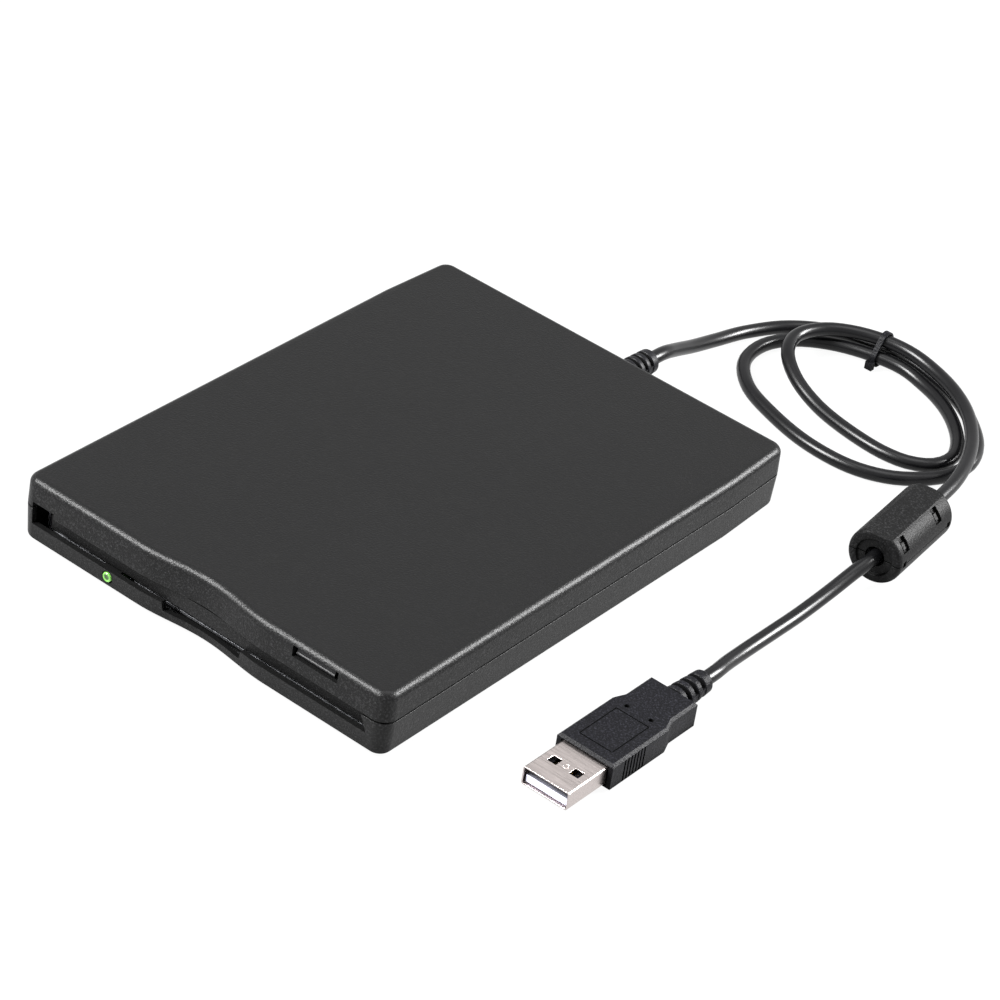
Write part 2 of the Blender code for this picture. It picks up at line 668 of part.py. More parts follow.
def part(name, look, adds, cuts=(), origin=(0, 0, 0), place=None, parent=None, bevel=0):
    """One solid: the first shape, joined with the others and less the cuts."""
    place = place or Matrix.Identity(4)
    mesh = adds[0]
    mesh.transform(Matrix.Translation(-Vector(origin)))
    obj = bpy.data.objects.new(name, mesh)
    PARTS.objects.link(obj)
    obj.matrix_world = place @ Matrix.Translation(origin)
    mesh.materials.append(material(look))
    for operation, shapes in (("UNION", adds[1:]), ("DIFFERENCE", cuts)):
        for shape in shapes:
            helper = bpy.data.objects.new(name + "_" + operation.lower(), shape)
            CUTTERS.objects.link(helper)
            helper.matrix_world = place
            helper.hide_render = True
            helper.display_type = "WIRE"
            boolean = obj.modifiers.new(operation.lower(), "BOOLEAN")
            boolean.operation = operation
            boolean.object = helper
    if bevel:
        rounding = obj.modifiers.new("edges", "BEVEL")
        rounding.width = bevel
        rounding.segments = 2
        rounding.limit_method = "ANGLE"
        rounding.angle_limit = math.radians(SMOOTH_DEGREES)
    mesh.shade_smooth()
    mesh.set_sharp_from_angle(angle=math.radians(SMOOTH_DEGREES))
    if parent:
        keep_parent(obj, parent)
    return obj


def keep_parent(obj, parent):
    world = obj.matrix_world.copy()
    obj.parent = parent
    obj.matrix_parent_inverse = parent.matrix_world.inverted()
    obj.matrix_world = world


def tube(name, look, points, radius, bevel_steps, origin=(0, 0, 0), parent=None):
    """A round wire through its points, with filled caps."""
    curve = bpy.data.curves.new(name, "CURVE")
    curve.dimensions = "3D"
    curve.bevel_depth = radius
    curve.bevel_resolution = bevel_steps
    curve.use_fill_caps = True
    spline = curve.splines.new("POLY")
    spline.points.add(len(points) - 1)
    for point, place in zip(spline.points, points):
        point.co = (*(Vector(place) - Vector(origin)), 1)
    obj = bpy.data.objects.new(name, curve)
    obj.location = origin
    curve.materials.append(material(look))
    PARTS.objects.link(obj)
    bpy.context.view_layer.update()
    if parent:
        keep_parent(obj, parent)
    return obj


# Case shells


def plan_ring(height, inset, finger_deep):
    """Plan outline of the case at one height: finger dip in front, sides drawn in at the rear."""
    half = CASE_HALF - inset
    front = FRONT_Y + inset
    rear = REAR_Y - inset
    radius = max(PLAN_RADIUS - inset, LEAST_RADIUS)
    lean = math.degrees(math.atan2(REAR_TAPER, REAR_TAPER_LENGTH))
    points = arc((-half + radius, front + radius), radius, 180, 270, CORNER_STEPS)
    for step in range(FINGER_STEPS + 1):
        across = 2 * step / FINGER_STEPS - 1
        dip = finger_deep * (1 + math.cos(math.pi * across)) / 2
        points.append((FINGER_CENTRE + FINGER_HALF * across, front + dip))
    points += arc((half - radius, front + radius), radius, 270, 360, CORNER_STEPS)
    points.append((half, REAR_Y - REAR_TAPER_LENGTH))
    rear_half = half - REAR_TAPER
    points += arc((rear_half - radius, rear - radius), radius, lean, 90, CORNER_STEPS)
    points += arc((-rear_half + radius, rear - radius), radius, 90, 180 - lean, CORNER_STEPS)
    points.append((-half, REAR_Y - REAR_TAPER_LENGTH))
    return [(across, along, height) for across, along in points]


def finger_depth(height):
    share = (height - BASE_Z) / CASE_HEIGHT
    return FINGER_DEEP_BASE + (FINGER_DEEP_TOP - FINGER_DEEP_BASE) * share


def case_ring(height, inset):
    return plan_ring(height, inset, finger_depth(height))


def case_screw_places():
    return [(side * SCREW_POST_X, SCREW_POST_Y) for side in (-1, 1)]


def drive_screw_places():
    across = CASE_HALF - DRIVE_SCREW_SIDE_INSET
    front = FRONT_Y + DRIVE_SCREW_FRONT_INSET
    rear = REAR_Y - DRIVE_SCREW_REAR_INSET
    return [(side * across, along) for along in (front, rear) for side in (-1, 1)]


def foot_places():
    across = CASE_HALF - FOOT_SIDE_INSET
    front = FRONT_Y + FOOT_FRONT_INSET
    rear = REAR_Y - FOOT_REAR_INSET
    return [(side * across, along) for along in (front, rear) for side in (-1, 1)]


def make_bottom_cover():
    base_inset = BASE_DRAW_IN + BASE_FILLET
    rings = [case_ring(BASE_Z, base_inset)]
    for step in range(1, FILLET_STEPS + 1):
        angle = math.radians(90 * step / FILLET_STEPS)
        inset = BASE_DRAW_IN + BASE_FILLET * (1 - math.sin(angle))
        rings.append(case_ring(BASE_Z + BASE_FILLET * (1 - math.cos(angle)), inset))
    rings.append(case_ring(LOWER_RIM_Z, 0))
    rings.append(case_ring(LOWER_RIM_Z, SKIN + GAP))
    rings.append(case_ring(TONGUE_Z, SKIN + GAP))
    rings.append(case_ring(TONGUE_Z, SIDE_WALL))
    rings.append(case_ring(FLOOR_Z + INNER_FILLET, SIDE_WALL + BASE_DRAW_IN))
    rings.append(case_ring(FLOOR_Z, SIDE_WALL + BASE_DRAW_IN + INNER_FILLET))
    adds = [loft(rings)]
    led_x = -CASE_HALF + LED_LEFT_INSET
    led_z = BASE_Z + LED_RISE
    adds.append(block(
        (led_x - LED_HOLDER_HALF, INNER_FRONT_Y - SINK, FLOOR_Z - SINK),
        (led_x + LED_HOLDER_HALF, FRONT_Y + LED_HOLDER_DEEP, SLOT_LOW_Z - SINK),
    ))
    for across, along in case_screw_places():
        adds.append(bar((across, along, FLOOR_Z - SINK), (across, along, FLOOR_Z + CASE_BOSS_RISE),
                        POST_RADIUS + LOOSE_GAP))
    for side in (-1, 1):
        along = (USB_BOARD_FRONT_Y + USB_BOARD_REAR_Y) / 2
        adds.append(bar((side * PILLAR_X, along, FLOOR_Z - SINK),
                        (side * PILLAR_X, along, USB_BOARD_Z - GAP), PILLAR_RADIUS))
    cuts = [
        slot_cutter(TONGUE_Z + OVERRUN),
        block((NOTCH_LEFT, FRONT_Y - OVERRUN, SLOT_LOW_Z - NOTCH_DEEP),
              (NOTCH_RIGHT, BEHIND_FINGER_Y, SLOT_TOP_Z)),
        bar((led_x, FRONT_Y - OVERRUN, led_z), (led_x, FRONT_Y + LED_HOLDER_DEEP + OVERRUN, led_z),
            LED_RADIUS + GAP),
        block((LEAD_X - RELIEF_NECK_RADIUS - GAP, INNER_REAR_Y - OVERRUN, LOWER_RIM_Z),
              (LEAD_X + RELIEF_NECK_RADIUS + GAP, REAR_Y + OVERRUN, TONGUE_Z + OVERRUN)),
    ]
    for across, along in foot_places():
        cuts.append(bar((across, along, BASE_Z - OVERRUN), (across, along, BASE_Z + FOOT_SET),
                        FOOT_RADIUS + GAP))
    for places, head in ((case_screw_places(), CASE_SCREW_HEAD), (drive_screw_places(), DRIVE_SCREW_HEAD)):
        for across, along in places:
            recess_z = BASE_Z + SCREW_HEAD_SINK + head + GAP
            cuts.append(bar((across, along, BASE_Z - OVERRUN), (across, along, recess_z),
                            SCREW_HEAD_RADIUS + GAP))
            cuts.append(bar((across, along, BASE_Z),
                            (across, along, FLOOR_Z + CASE_BOSS_RISE + OVERRUN),
                            SCREW_SHANK_RADIUS + GAP, sides=12))
    return part("bottom_cover", "case_black", adds, cuts)


def slot_cutter(top_z):
    """The slot through the front wall, with its right end slanted."""
    outline = [
        (-CASE_HALF + SLOT_LEFT_INSET, SLOT_LOW_Z),
        (CASE_HALF - SLOT_RIGHT_LOW_INSET, SLOT_LOW_Z),
        (CASE_HALF - SLOT_RIGHT_HIGH_INSET, SLOT_TOP_Z),
        (CASE_HALF - SLOT_RIGHT_HIGH_INSET, top_z),
        (-CASE_HALF + SLOT_LEFT_INSET, top_z),
    ]
    return extruded("Y", FRONT_Y - OVERRUN, BEHIND_FINGER_Y, outline)


def button_left_x():
    return CASE_HALF - BUTTON_RIGHT_INSET - BUTTON_RIGHT_SPACE - BUTTON_WIDE


def make_top_cover():
    rings = [
        case_ring(CEILING_Z, SIDE_WALL + UPPER_DRAW_IN + INNER_FILLET),
        case_ring(CEILING_Z - INNER_FILLET, SIDE_WALL + UPPER_DRAW_IN),
        case_ring(TONGUE_Z + GAP, SIDE_WALL),
        case_ring(TONGUE_Z + GAP, SKIN),
        case_ring(UPPER_RIM_Z, SKIN),
        case_ring(UPPER_RIM_Z, 0),
    ]
    for step in range(FILLET_STEPS + 1):
        angle = math.radians(90 * step / FILLET_STEPS)
        inset = UPPER_DRAW_IN + TOP_FILLET * (1 - math.cos(angle))
        rings.append(case_ring(TOP_Z - TOP_FILLET * (1 - math.sin(angle)), inset))
    adds = [loft(rings)]
    for side in (-1, 1):
        inner, outer = sorted((side * BRACKET_INNER_X, side * BRACKET_OUTER_X))
        adds.append(block((inner, DOOR_BACK_Y - BRACKET_FRONT, DOOR_AXIS_Z),
                          (outer, DOOR_BACK_Y + BRACKET_RADIUS - SINK, CEILING_Z + SINK)))
        adds.append(bar((inner, DOOR_BACK_Y, DOOR_AXIS_Z), (outer, DOOR_BACK_Y, DOOR_AXIS_Z), BRACKET_RADIUS))
    post_low_z = FLOOR_Z + CASE_BOSS_RISE + GAP
    for across, along in case_screw_places():
        adds.append(bar((across, along, post_low_z), (across, along, CEILING_Z + SINK), POST_RADIUS))
    left = button_left_x()
    button_top_z = CEILING_Z - GAP
    cuts = [
        block((-CASE_HALF + SLOT_LEFT_INSET, FRONT_Y - OVERRUN, UPPER_RIM_Z - OVERRUN),
              (-CASE_HALF + SLOT_LEFT_INSET + POCKET_WIDE, INNER_FRONT_Y + GAP, UPPER_RIM_Z + POCKET_RISE)),
        block((left - BUTTON_LEFT_SPACE, FRONT_Y - OVERRUN, button_top_z - BUTTON_TALL - GAP),
              (left + BUTTON_WIDE + BUTTON_RIGHT_SPACE, BEHIND_FINGER_Y, CEILING_Z)),
        lead_notch_cutter(),
    ]
    for side in (-1, 1):
        cuts.append(bar((side * (BRACKET_INNER_X - OVERRUN), DOOR_BACK_Y, DOOR_AXIS_Z),
                        (side * (BRACKET_OUTER_X + OVERRUN), DOOR_BACK_Y, DOOR_AXIS_Z),
                        DOOR_PIN_RADIUS + GAP, sides=12))
    for across, along in case_screw_places():
        cuts.append(bar((across, along, post_low_z - OVERRUN),
                        (across, along, BASE_Z + CASE_SCREW_LENGTH + OVERRUN),
                        SCREW_SHANK_RADIUS + GAP, sides=12))
    return part("top_cover", "case_black", adds, cuts)


def lead_notch_cutter():
    """The arch over the lead's neck in the rear wall."""
    reach = RELIEF_NECK_RADIUS + GAP
    outline = arc((LEAD_X, LEAD_Z), reach, 0, 180, ROUND_SIDES // 2)
    outline += [(LEAD_X - reach, UPPER_RIM_Z - OVERRUN), (LEAD_X + reach, UPPER_RIM_Z - OVERRUN)]
    return extruded("Y", INNER_REAR_Y - OVERRUN, REAR_Y + OVERRUN, outline)


def make_feet():
    names = ("front_left", "front_right", "rear_left", "rear_right")
    for name, (across, along) in zip(names, foot_places()):
        top = BASE_Z + FOOT_SET - GAP
        profile = [(0, top), (FOOT_RADIUS, top), (FOOT_RADIUS, GAP), (FOOT_RADIUS - GAP, 0), (0, 0)]
        shape = turned(profile, Matrix.Translation((across, along, 0)))
        part("foot_" + name, "rubber_black", [shape], origin=(across, along, 0))


def make_screw(name, across, along, head, length):
    low = BASE_Z + SCREW_HEAD_SINK
    profile = [(0, low + length), (SCREW_SHANK_RADIUS, low + length), (SCREW_SHANK_RADIUS, low + head),
               (SCREW_HEAD_RADIUS, low + head), (SCREW_HEAD_RADIUS, low), (0, low)]
    shape = turned(profile, Matrix.Translation((across, along, 0)), sides=12)
    part(name, "screw_steel", [shape], origin=(across, along, low))


def make_screws():
    for name, (across, along) in zip(("left", "right"), case_screw_places()):
        make_screw("case_screw_" + name, across, along, CASE_SCREW_HEAD, CASE_SCREW_LENGTH)
    drive_length = DECK_Z - BASE_Z
    names = ("front_left", "front_right", "rear_left", "rear_right")
    for name, (across, along) in zip(names, drive_screw_places()):
        make_screw("drive_screw_" + name, across, along, DRIVE_SCREW_HEAD, drive_length)


def make_led_lens():
    across = -CASE_HALF + LED_LEFT_INSET
    height = BASE_Z + LED_RISE
    rim = LED_RADIUS - LED_DOME
    profile = [(0, 0), (rim, -LED_DOME / 2), (LED_RADIUS, -LED_DOME * 2), (LED_RADIUS, -LED_LENGTH),
               (0, -LED_LENGTH)]
    place = Matrix.Translation((across, FRONT_Y, height)) @ Matrix.Rotation(math.radians(90), 4, "X")
    part("led_lens", "lens_green", [turned(profile, place)], origin=(across, FRONT_Y, height))


def make_dust_door():
    """A plate hung from two barrels on a pin at each end; it swings inward at the bottom."""
    low = SLOT_LOW_Z + DOOR_EDGE_GAP
    high = LOWER_RIM_Z
    step_x = BRACKET_INNER_X - LOOSE_GAP
    left_step = -step_x
    outline = [
        (DOOR_LEFT_X, low), (DOOR_RIGHT_X, low), (DOOR_RIGHT_X, high - DOOR_END_STEP),
        (step_x, high - DOOR_END_STEP), (step_x, high), (left_step, high),
        (left_step, high - DOOR_END_STEP), (DOOR_LEFT_X, high - DOOR_END_STEP),
    ]
    front = DOOR_BACK_Y - DOOR_SHEET
    adds = [extruded("Y", front, DOOR_BACK_Y, outline)]
    for side in (-1, 1):
        inner = side * (CASE_HALF - DOOR_TAB_INNER_INSET)
        outer = side * (CASE_HALF - DOOR_TAB_OUTER_INSET)
        left, right = sorted((inner, outer))
        adds.append(block((left, front + SINK, high - SINK), (right, DOOR_BACK_Y - SINK, DOOR_AXIS_Z)))
        adds.append(bar((left, DOOR_BACK_Y, DOOR_AXIS_Z), (right, DOOR_BACK_Y, DOOR_AXIS_Z),
                        DOOR_BARREL_RADIUS, sides=12))
        pin_end = side * (BRACKET_OUTER_X - GAP)
        adds.append(bar((inner + side * SINK, DOOR_BACK_Y, DOOR_AXIS_Z), (pin_end, DOOR_BACK_Y, DOOR_AXIS_Z),
                        DOOR_PIN_RADIUS, sides=12))
    return part("dust_door", "door_grey", adds, origin=(0, DOOR_BACK_Y, DOOR_AXIS_Z))


def make_door_spring(door):
    """A short coil round the door's pin, between its tab and the bracket."""
    start = CASE_HALF - DOOR_TAB_OUTER_INSET + GAP + DOOR_SPRING_WIRE
    end = BRACKET_INNER_X - GAP - DOOR_SPRING_WIRE
    count = DOOR_SPRING_TURNS * SPRING_TURN_STEPS
    points = []
    for step in range(count + 1):
        angle = 2 * math.pi * step / SPRING_TURN_STEPS
        points.append((start + (end - start) * step / count,
                       DOOR_BACK_Y + DOOR_SPRING_RADIUS * math.cos(angle),
                       DOOR_AXIS_Z + DOOR_SPRING_RADIUS * math.sin(angle)))
    tube("door_spring", "spring_steel", points, DOOR_SPRING_WIRE, SPRING_BEVEL_STEPS,
         origin=(start, DOOR_BACK_Y, DOOR_AXIS_Z), parent=door)


# Frame of the drive


def stepper_notch(low, high, distance):
    """The notch that the stepper needs in a sheet at that distance from its axis, if it reaches it."""
    reach = STEPPER_RADIUS + GAP
    if reach <= distance:
        return []
    half = math.sqrt(reach * reach - distance * distance)
    front = FRAME_REAR_Y - LOOSE_GAP - STEPPER_LENGTH - GAP
    return [block((SCREW_X - half, front, low - OVERRUN),
                  (SCREW_X + half, FRAME_REAR_Y + OVERRUN, high + OVERRUN))]


def make_drive_frame():
    section = [
        (-FRAME_HALF, FRAME_LOW_Z), (FRAME_HALF, FRAME_LOW_Z), (FRAME_HALF, FRAME_TOP_Z),
        (FRAME_INNER, FRAME_TOP_Z), (FRAME_INNER, DECK_Z), (-FRAME_INNER, DECK_Z),
        (-FRAME_INNER, FRAME_TOP_Z), (-FRAME_HALF, FRAME_TOP_Z),
    ]
    adds = [extruded("Y", FRAME_FRONT_Y, FRAME_REAR_Y, section)]
    rod_reach = ROD_RADIUS + GAP + LUG_MARGIN
    rear_lug_front = CARRIAGE_REAR_Y + LOOSE_GAP
    for front, rear in ((LUG_FRONT_Y, LUG_REAR_Y), (rear_lug_front, FRAME_REAR_Y)):
        adds.append(block((ROD_X - rod_reach, front, DECK_Z - SINK),
                          (ROD_X + rod_reach, rear, ROD_Z + rod_reach)))
    screw_reach = SCREW_RADIUS + 2 * GAP + BEARING_WALL + LUG_MARGIN
    adds.append(block((SCREW_X - screw_reach, LUG_FRONT_Y, DECK_Z - SINK),
                      (SCREW_X + screw_reach, LUG_REAR_Y, SCREW_Z + screw_reach)))
    pin_low_z = CRADLE_PIN_Z - CRADLE_DROP - PIN_SLOT_HALF
    cuts = [bar((0, SPINDLE_Y, FLOOR_Z), (0, SPINDLE_Y, DECK_Z + OVERRUN), SPINDLE_HOLE_RADIUS, WIDE_SIDES)]
    for along in PIN_PLACES_Y:
        cuts.append(block((-FRAME_HALF - OVERRUN, along - PIN_SLOT_HALF, pin_low_z),
                          (FRAME_HALF + OVERRUN, along + PIN_SLOT_HALF, FRAME_TOP_Z + OVERRUN)))
    cuts.append(bar((ROD_X, LUG_FRONT_Y - OVERRUN, ROD_Z), (ROD_X, FRAME_REAR_Y + OVERRUN, ROD_Z),
                    ROD_RADIUS + GAP))
    cuts.append(bar((SCREW_X, LUG_FRONT_Y - OVERRUN, SCREW_Z), (SCREW_X, LUG_REAR_Y + OVERRUN, SCREW_Z),
                    SCREW_RADIUS + 2 * GAP + BEARING_WALL))
    for across, along in drive_screw_places():
        cuts.append(bar((across, along, FLOOR_Z), (across, along, DECK_Z + OVERRUN),
                        SCREW_SHANK_RADIUS + GAP, sides=12))
    cuts += stepper_notch(FRAME_LOW_Z, DECK_Z, SCREW_Z - DECK_Z)
    return part("drive_frame", "zinc_sheet", adds, cuts)


def make_drive_lid():
    flange_in = FRAME_HALF + GAP
    flange_out = flange_in + LID_SHEET
    flange_low = LID_TOP_Z - LID_FLANGE_DROP
    section = [
        (-flange_out, flange_low), (-flange_in, flange_low), (-flange_in, LID_LOW_Z),
        (flange_in, LID_LOW_Z), (flange_in, flange_low), (flange_out, flange_low),
        (flange_out, LID_TOP_Z), (-flange_out, LID_TOP_Z),
    ]
    adds = [extruded("Y", LID_FRONT_Y, FRAME_REAR_Y, section)]
    tab_y = LID_FRONT_Y + SPRING_LID_TAB_STEP
    for side in (-1, 1):
        adds.append(block((side * SPRING_X - SPRING_TAB_HALF, tab_y, SLIDE_TOP_Z + GAP),
                          (side * SPRING_X + SPRING_TAB_HALF, tab_y + SPRING_TAB_SHEET, LID_LOW_Z + SINK)))
    cuts = stepper_notch(LID_LOW_Z, LID_TOP_Z, LID_LOW_Z - SCREW_Z)
    return part("drive_lid", "bright_sheet", adds, cuts)


# Cradle, slide and eject button


def make_disk_cradle():
    inner = CRADLE_HALF - CRADLE_SHEET
    lip = CRADLE_HALF - CRADLE_LIP_WIDE
    section = [
        (-CRADLE_HALF, CRADLE_LIP_LOW_Z), (-lip, CRADLE_LIP_LOW_Z), (-lip, CRADLE_LIP_TOP_Z),
        (-inner, CRADLE_LIP_TOP_Z), (-inner, CRADLE_CEILING_Z), (inner, CRADLE_CEILING_Z),
        (inner, CRADLE_LIP_TOP_Z), (lip, CRADLE_LIP_TOP_Z), (lip, CRADLE_LIP_LOW_Z),
        (CRADLE_HALF, CRADLE_LIP_LOW_Z), (CRADLE_HALF, CRADLE_TOP_Z), (-CRADLE_HALF, CRADLE_TOP_Z),
    ]
    adds = [extruded("Y", CRADLE_FRONT_Y, CRADLE_REAR_Y, section)]
    for along in PIN_PLACES_Y:
        for side in (-1, 1):
            adds.append(bar((side * (CRADLE_HALF - CRADLE_SHEET / 2), along, CRADLE_PIN_Z),
                            (side * (CRADLE_HALF + CRADLE_PIN_REACH), along, CRADLE_PIN_Z),
                            CRADLE_PIN_RADIUS, sides=12))
    lever_rear = CRADLE_REAR_Y - LEVER_WINDOW_REAR_STEP
    pivot_x, pivot_y = lever_pivot()
    cuts = [
        block((-HEAD_WINDOW_HALF, CRADLE_REAR_Y - HEAD_WINDOW_REACH, CRADLE_CEILING_Z - OVERRUN),
              (HEAD_WINDOW_HALF, CRADLE_REAR_Y + OVERRUN, CRADLE_TOP_Z + OVERRUN)),
        block((pivot_x - LEVER_WINDOW_REACH, lever_rear - LEVER_WINDOW_LENGTH, CRADLE_CEILING_Z - OVERRUN),
              (pivot_x - LEVER_WINDOW_STEP, lever_rear, CRADLE_TOP_Z + OVERRUN)),
        bar((pivot_x, pivot_y, CRADLE_CEILING_Z - OVERRUN), (pivot_x, pivot_y, CRADLE_TOP_Z + OVERRUN),
            LEVER_PIN_RADIUS + GAP, sides=12),
    ]
    return part("disk_cradle", "bright_sheet", adds, cuts, origin=(0, CRADLE_FRONT_Y, CRADLE_CEILING_Z))


def lever_pivot():
    return CRADLE_HALF - LEVER_PIVOT_INSET, CRADLE_REAR_Y - LEVER_PIVOT_STEP


def ramp_outline(along):
    """The slanted slot that lowers a cradle pin as the slide moves forward."""
    start = Vector((along, CRADLE_PIN_Z))
    end = Vector((along + SLIDE_TRAVEL, CRADLE_PIN_Z - CRADLE_DROP))
    lean = math.degrees(math.atan2(end.y - start.y, end.x - start.x))
    points = arc(start, PIN_SLOT_HALF, lean + 90, lean + 270, ROUND_SIDES // 3)
    return points + arc(end, PIN_SLOT_HALF, lean - 90, lean + 90, ROUND_SIDES // 3)


def make_slide_plate():
    section = [
        (-SLIDE_HALF, SLIDE_SKIRT_Z), (-SLIDE_INNER, SLIDE_SKIRT_Z), (-SLIDE_INNER, SLIDE_LOW_Z),
        (SLIDE_INNER, SLIDE_LOW_Z), (SLIDE_INNER, SLIDE_SKIRT_Z), (SLIDE_HALF, SLIDE_SKIRT_Z),
        (SLIDE_HALF, SLIDE_TOP_Z), (-SLIDE_HALF, SLIDE_TOP_Z),
    ]
    adds = [extruded("Y", SLIDE_FRONT_Y, SLIDE_REAR_Y, section)]
    for side in (-1, 1):
        adds.append(block((side * SPRING_X - SPRING_TAB_HALF, STRIP_REAR_Y - SPRING_TAB_SHEET,
                           SLIDE_TOP_Z - SINK),
                          (side * SPRING_X + SPRING_TAB_HALF, STRIP_REAR_Y, LID_LOW_Z - GAP)))
    arm_inner = SLIDE_HALF - SLIDE_ARM_WIDE
    cuts = [block((-arm_inner, STRIP_REAR_Y, SLIDE_LOW_Z - OVERRUN),
                  (arm_inner, SLIDE_REAR_Y + OVERRUN, SLIDE_TOP_Z + OVERRUN))]
    for along in PIN_PLACES_Y:
        cuts.append(extruded("X", -SLIDE_HALF - OVERRUN, SLIDE_HALF + OVERRUN, ramp_outline(along)))
    return part("slide_plate", "zinc_sheet", adds, cuts, origin=(0, SLIDE_FRONT_Y, SLIDE_LOW_Z))


def make_eject_button(slide):
    left = button_left_x()
    right = left + BUTTON_WIDE
    top = CEILING_Z - GAP
    front = FRONT_Y + BUTTON_RECESS
    tail_low = SLIDE_TOP_Z + GAP
    head = block((left, front, top - BUTTON_TALL), (right, front + BUTTON_DEEP, top))
    tail_front = FRAME_FRONT_Y + EJECT_TAIL_FRONT_STEP
    tail = block((left + EJECT_TAIL_INSET, tail_front, tail_low),
                 (right - EJECT_TAIL_INSET, SLIDE_FRONT_Y + EJECT_TAIL_OVERLAP, top - BUTTON_TALL + SINK))
    return part("eject_button", "button_black", [head, tail], origin=(left, front, top), parent=slide,
                bevel=BUTTON_BEVEL)


def make_eject_springs():
    front = LID_FRONT_Y + SPRING_LID_TAB_STEP + SPRING_TAB_SHEET + GAP + SPRING_WIRE
    rear = STRIP_REAR_Y - SPRING_TAB_SHEET - GAP - SPRING_WIRE
    count = SPRING_TURNS * SPRING_TURN_STEPS
    for name, side in (("left", -1), ("right", 1)):
        points = []
        for step in range(count + 1):
            angle = 2 * math.pi * step / SPRING_TURN_STEPS
            points.append((side * SPRING_X + SPRING_RADIUS * math.cos(angle),
                           front + (rear - front) * step / count,
                           SPRING_Z + SPRING_RADIUS * math.sin(angle)))
        tube("eject_spring_" + name, "spring_steel", points, SPRING_WIRE, SPRING_BEVEL_STEPS,
             origin=(side * SPRING_X, front, SPRING_Z))


def make_shutter_lever(cradle):
    """The arm that slides a disk's shutter open as the disk goes in."""
    pivot_x, pivot_y = lever_pivot()
    low = CRADLE_TOP_Z + GAP
    high = low + LEVER_SHEET
    lean = math.radians(LEVER_REST_DEGREES)
    along = Vector((math.cos(lean), math.sin(lean)))
    pivot = Vector((pivot_x, pivot_y))
    tip = pivot + along * LEVER_LENGTH
    outline = arc(tip, LEVER_HALF, LEVER_REST_DEGREES - 90, LEVER_REST_DEGREES + 90, ROUND_SIDES // 3)
    outline += arc(pivot, LEVER_HUB_RADIUS, LEVER_REST_DEGREES + 90, LEVER_REST_DEGREES + 270,
                   ROUND_SIDES // 2)
    adds = [
        extruded("Z", low, high, outline, [circle(pivot, LEVER_PIN_RADIUS + GAP, sides=12)]),
        bar((*tip, high - SINK), (*tip, low - LEVER_FINGER_DROP), LEVER_FINGER_RADIUS, sides=12),
    ]
    lever = part("shutter_lever", "bright_sheet", adds, origin=(pivot_x, pivot_y, low), parent=cradle)
    top = high + GAP
    profile = [(0, top + LEVER_PIN_HEAD), (LEVER_PIN_HEAD_RADIUS, top + LEVER_PIN_HEAD),
               (LEVER_PIN_HEAD_RADIUS, top), (LEVER_PIN_RADIUS, top), (LEVER_PIN_RADIUS, CRADLE_CEILING_Z),
               (0, CRADLE_CEILING_Z)]
    shape = turned(profile, Matrix.Translation((pivot_x, pivot_y, 0)), sides=12)
    part("lever_pin", "screw_steel", [shape], origin=(pivot_x, pivot_y, low), parent=cradle)
    return lever


# Spindle


def make_spindle():
    centre = (0, SPINDLE_Y)
    low = BOARD_TOP_Z - BOARD_SHEET
    board = extruded("Z", low, BOARD_TOP_Z, circle(centre, SPINDLE_BOARD_RADIUS, WIDE_SIDES))
    part("spindle_board", "board_green", [board])
    bore = SHAFT_RADIUS + GAP
    bearing = extruded("Z", BEARING_LOW_Z, BEARING_LOW_Z + BEARING_TALL, circle(centre, BEARING_RADIUS),
                       [circle(centre, bore)])
    part("spindle_bearing", "brass", [bearing])
    stator = extruded("Z", BEARING_LOW_Z, BEARING_LOW_Z + STATOR_TALL, stator_outline(centre),
                      [circle(centre, STATOR_BORE, WIDE_SIDES)])
    part("spindle_stator", "winding_copper", [stator])
    make_rotor()


def stator_outline(centre):
    """A ring of teeth, each with a wider tip."""
    tooth_shares = ((-0.5, 0), (-0.22, 0), (-0.22, 0.8), (-0.4, 1),
                    (0.4, 1), (0.22, 0.8), (0.22, 0), (0.5, 0))
    points = []
    for tooth in range(STATOR_TEETH):
        for across_share, out_share in tooth_shares[:-1]:
            angle = 2 * math.pi * (tooth + across_share) / STATOR_TEETH
            radius = STATOR_TOOTH_ROOT + (STATOR_RADIUS - STATOR_TOOTH_ROOT) * out_share
            points.append((centre[0] + radius * math.cos(angle), centre[1] + radius * math.sin(angle)))
    return points


def make_rotor():
    place = Matrix.Translation((0, SPINDLE_Y, 0))
    bore = SHAFT_RADIUS + GAP
    rim_inner = ROTOR_RADIUS - ROTOR_RIM
    rotor = turned(
        [(bore, ROTOR_TOP_Z), (ROTOR_RADIUS, ROTOR_TOP_Z), (ROTOR_RADIUS, BEARING_LOW_Z),
         (rim_inner, BEARING_LOW_Z), (rim_inner, ROTOR_LOW_Z), (bore, ROTOR_LOW_Z)],
        place, WIDE_SIDES, ring=True,
    )
    part("spindle_rotor", "bright_sheet", [rotor], origin=(0, SPINDLE_Y, ROTOR_LOW_Z))
    shaft_top = HUB_TOP_Z + SHAFT_PROUD
    hub = turned(
        [(0, shaft_top), (SHAFT_RADIUS, shaft_top), (SHAFT_RADIUS, HUB_TOP_Z), (HUB_RADIUS, HUB_TOP_Z),
         (HUB_RADIUS, HUB_LOW_Z), (SHAFT_RADIUS, HUB_LOW_Z), (SHAFT_RADIUS, BEARING_LOW_Z),
         (0, BEARING_LOW_Z)],
        place, WIDE_SIDES,
    )
    pin = bar((DRIVE_PIN_OFFSET, SPINDLE_Y, HUB_TOP_Z - SINK), (DRIVE_PIN_OFFSET, SPINDLE_Y, shaft_top),
              DRIVE_PIN_RADIUS, sides=12)
    part("disk_hub", "nickel", [hub, pin], origin=(0, SPINDLE_Y, HUB_LOW_Z))


# Head carriage


